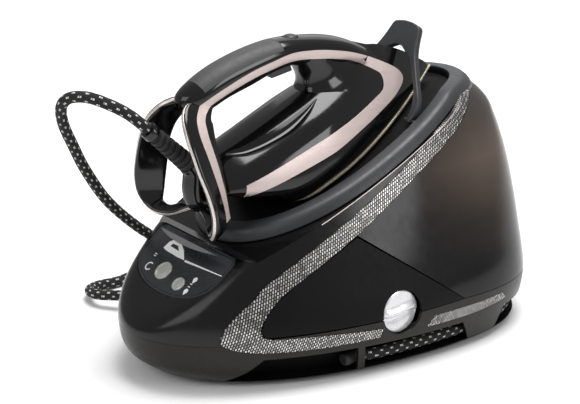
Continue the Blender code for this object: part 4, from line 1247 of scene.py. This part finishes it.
def leg_line(side):
    """Stations down a heel leg: place, band width, band thickness, outward and broad directions."""
    centres = smooth_line([row[:3] for row in LEG], 4)
    knots = [Vector(row[:3]) for row in LEG]
    walk = [0.0]
    for a, b in zip(knots, knots[1:]):
        walk.append(walk[-1] + (b - a).length)
    table = [(at, *row[3:]) for at, row in zip(walk, LEG)]
    total = length_of(centres)
    stations = []
    walked = 0.0
    places = [on_iron(side * c.x, c.y, c.z) for c in centres]
    for k, spot in enumerate(places):
        if k:
            walked += (centres[k] - centres[k - 1]).length
        forward = (places[min(k + 1, len(places) - 1)] - places[max(k - 1, 0)]).normalized()
        rise = min(centres[k].z - LEG_MIDDLE, 10)
        outward = Vector((side * centres[k].x, 0, 0)) + iron_direction(0, 0, rise)
        outward = (outward - forward * outward.dot(forward)).normalized()
        at = walked / total * walk[-1]
        width, thickness, turn = (smooth(table, at, column) for column in (1, 2, 3))
        outward.rotate(Quaternion(forward, math.radians(turn) * -side))
        stations.append((spot, width, thickness, outward, forward.cross(outward) * side))
    return stations


def within(span, share):
    """The place in a span for a share that runs from -1 to 1."""
    return (span[0] + span[1]) / 2 + (span[1] - span[0]) / 2 * share


def band_loft(name, stations, across, through, rounded):
    """A band along a leg, within spans of the leg's half width and of its half thickness."""
    turns = [2 * math.pi * k / 28 for k in range(28)]
    rings = []
    for spot, width, thickness, outward, broad in stations:
        ring = []
        for turn in turns:
            wide = within(across, power(math.cos(turn), 2 / rounded))
            out = within(through, power(math.sin(turn), 2 / rounded))
            ring.append(spot + outward * (out * thickness / 2) + broad * (wide * width / 2))
        rings.append(ring)
    return loft(name, rings)


def make_heel():
    for side, word in ((1, "right"), (-1, "left")):
        stations = leg_line(side)
        pieces = (
            (f"leg_{word}", (-1, 1), (-1, 1), 6, "piano_black"),
            (f"leg_edge_{word}", (0.9, 1.03), (-0.38, 0.42), 4, "silver_line"),
        )
        for name, across, through, rounded, material in pieces:
            piece = band_loft(name, stations, across, through, rounded)
            cut(piece, handle_solid("cutter", GAP), shell_solid("cutter", 0.2, 4, SHELL_TOP + 0.2))
            cut(piece, loft("cutter", socket_rings(SOCKET_RADIUS + GAP)))
            nodes = [f"heel_leg_{word}"] if material == "piano_black" else []
            dress(piece, material, "iron", nodes)


def socket_rings(radius):
    """Rings along the neck that carries the cord out of the heel."""
    route = [on_iron(0, -8, 28), on_iron(0, -29, 36), on_iron(0, -30, 50), (0, -141, 186), (0, *SOCKET_END)]
    places = smooth_line(route, 3)
    across = Vector((1, 0, 0))
    turns = [2 * math.pi * k / 48 for k in range(48)]
    rings = []
    for k, spot in enumerate(places):
        forward = (places[min(k + 1, len(places) - 1)] - places[max(k - 1, 0)]).normalized()
        if k == len(places) - 1:
            forward = BOOT_AXIS
        up = forward.cross(across).normalized()
        rings.append([spot + (across * math.cos(a) + up * math.sin(a)) * radius for a in turns])
    return rings


# along the boot from a rib's start, and in from its radius
RIB_PROFILE = ((0, 0.3), (0.5, 0), (3.2, 0), (3.7, 0.3), (4.1, 1.8), (6.2, 1.9))


def make_swivel():
    socket = cut(loft("socket", socket_rings(SOCKET_RADIUS)), shell_solid("cutter", 0.2, 4, SHELL_TOP + 0.2))
    dress(socket, "piano_black", "iron", ["cord_socket"])
    start = Vector((0, *SOCKET_END)) + BOOT_AXIS * GAP
    ribs = 7
    profile = [(0, 8.6), (0.6, 9)]
    for k in range(ribs):
        at = 2 + (BOOT_LENGTH - 4) * k / ribs
        wide = 9.2 - 1.6 * k / ribs
        profile += [(at + along, wide - inset) for along, inset in RIB_PROFILE]
    profile.append((BOOT_LENGTH, 7.2))
    dress(turned("boot", profile, start, BOOT_AXIS), "rubber", "cord_swivel", ["cord_boot"])
    collar = start + BOOT_AXIS * (BOOT_LENGTH + GAP)
    profile = [(0, 8.0), (0.8, 8.5)]
    profile += [(COLLAR_LENGTH - back, radius) for back, radius in ((1.5, 8.2), (0.4, 7.6), (0, 6.8))]
    ring = turned("collar", profile, collar, BOOT_AXIS)
    dress(ring, "piano_black", "cord_swivel", ["cord_collar"])
    return collar + BOOT_AXIS * (COLLAR_LENGTH + 1)


# ---------------------------------------------------------------- the cord

def groove_points():
    """The middle of the cord groove, from the left side round the rear to the right side."""
    ring = body_ring(GROOVE_Z, GROOVE_INSET, 72)
    left = [p for p in ring[37:54] if p[1] > GROOVE_START_Y]
    right = [p for p in ring[54:] if p[1] > GROOVE_END_Y]
    return list(reversed(left)) + list(reversed(ring[:37])) + list(reversed(right))


def turns_of(mesh, face, sides):
    """Which steps of the turn round a tube a face's corners are at."""
    return [mesh.loops[loop].vertex_index % sides for loop in face.loop_indices]


def tube(name, points, radius, sides):
    """A tube along points, with UVs of (distance along it in millimetres, turn round it)."""
    side = (points[1] - points[0]).orthogonal().normalized()
    rings, walked = [], [0.0]
    for k, spot in enumerate(points):
        forward = (points[min(k + 1, len(points) - 1)] - points[max(k - 1, 0)]).normalized()
        side = (side - forward * side.dot(forward)).normalized()
        other = forward.cross(side)
        turns = [2 * math.pi * j / sides for j in range(sides)]
        rings.append([spot + (side * math.cos(a) + other * math.sin(a)) * radius for a in turns])
        if k:
            walked.append(walked[-1] + (spot - points[k - 1]).length)
    thing = loft(name, rings)
    layer = thing.data.uv_layers.new(name="along")
    for face in thing.data.polygons:
        for loop in face.loop_indices:
            vertex = thing.data.loops[loop].vertex_index
            row, turn = divmod(vertex, sides)
            if turn == 0 and sides - 1 in turns_of(thing.data, face, sides):
                turn = sides
            layer.data[loop].uv = (walked[row], turn / sides)
    return thing


def make_cord(start):
    route = [start, start + BOOT_AXIS * 6, *CORD_AIR, *CORD_FLOOR, *groove_points()]
    route.append((GLAND_X, GLAND_END_Y + 2.4, GROOVE_Z))
    line = smooth_line(route, 3.0)
    cord = tube("cord", line, CORD_RADIUS, 20)
    cord.data.materials.append(MATERIALS["braid"])
    cord.data.shade_smooth()
    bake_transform(cord)
    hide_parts("steam_cord")


# ---------------------------------------------------------------- the CAD nodes that stay

KEPT = {
    "rubber": ("foot_front_left", "foot_front_right", "foot_rear_left", "foot_rear_right", "rest_pad_left",
               "rest_pad_right", "steam_cord_gland", "power_cord_gland", "collector_seal"),
    "steel": ("tray_screw_left", "tray_screw_right", "steam_pipe", "solenoid_valve"),
    "satin_grey": ("arch_pin_left", "arch_pin_right"),
    "aluminium": ("boiler", "boiler_heater", "steam_chamber", "scale_collector"),
    "white_plastic": ("pump", "feed_hose", "collector_housing", "tank_socket", "tank_valve"),
    "matte_black": ("tank_deck",),
    "circuit_board": ("control_board",),
}


def dress_kept_nodes(nodes):
    for material, names in KEPT.items():
        for name in names:
            mesh = nodes[name].data
            mesh.materials.clear()
            mesh.materials.append(MATERIALS[material])


def corners(bounds):
    return [[round(value, 5) for value in corner] for corner in bounds]


clear_scene()
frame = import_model()
MATERIALS = make_materials()
make_camera()
make_light()
make_floor()
make_cord(make_swivel())
make_tray()
make_skirt()
make_casing()
make_sides()
make_rest()
make_arch()
make_panel()
make_panel_buttons()
make_marks()
make_cover()
make_tank()
make_sole()
make_shell()
make_handle()
make_heel()
make_loop(1, "right")
make_loop(-1, "left")
dress_kept_nodes(frame["nodes"])
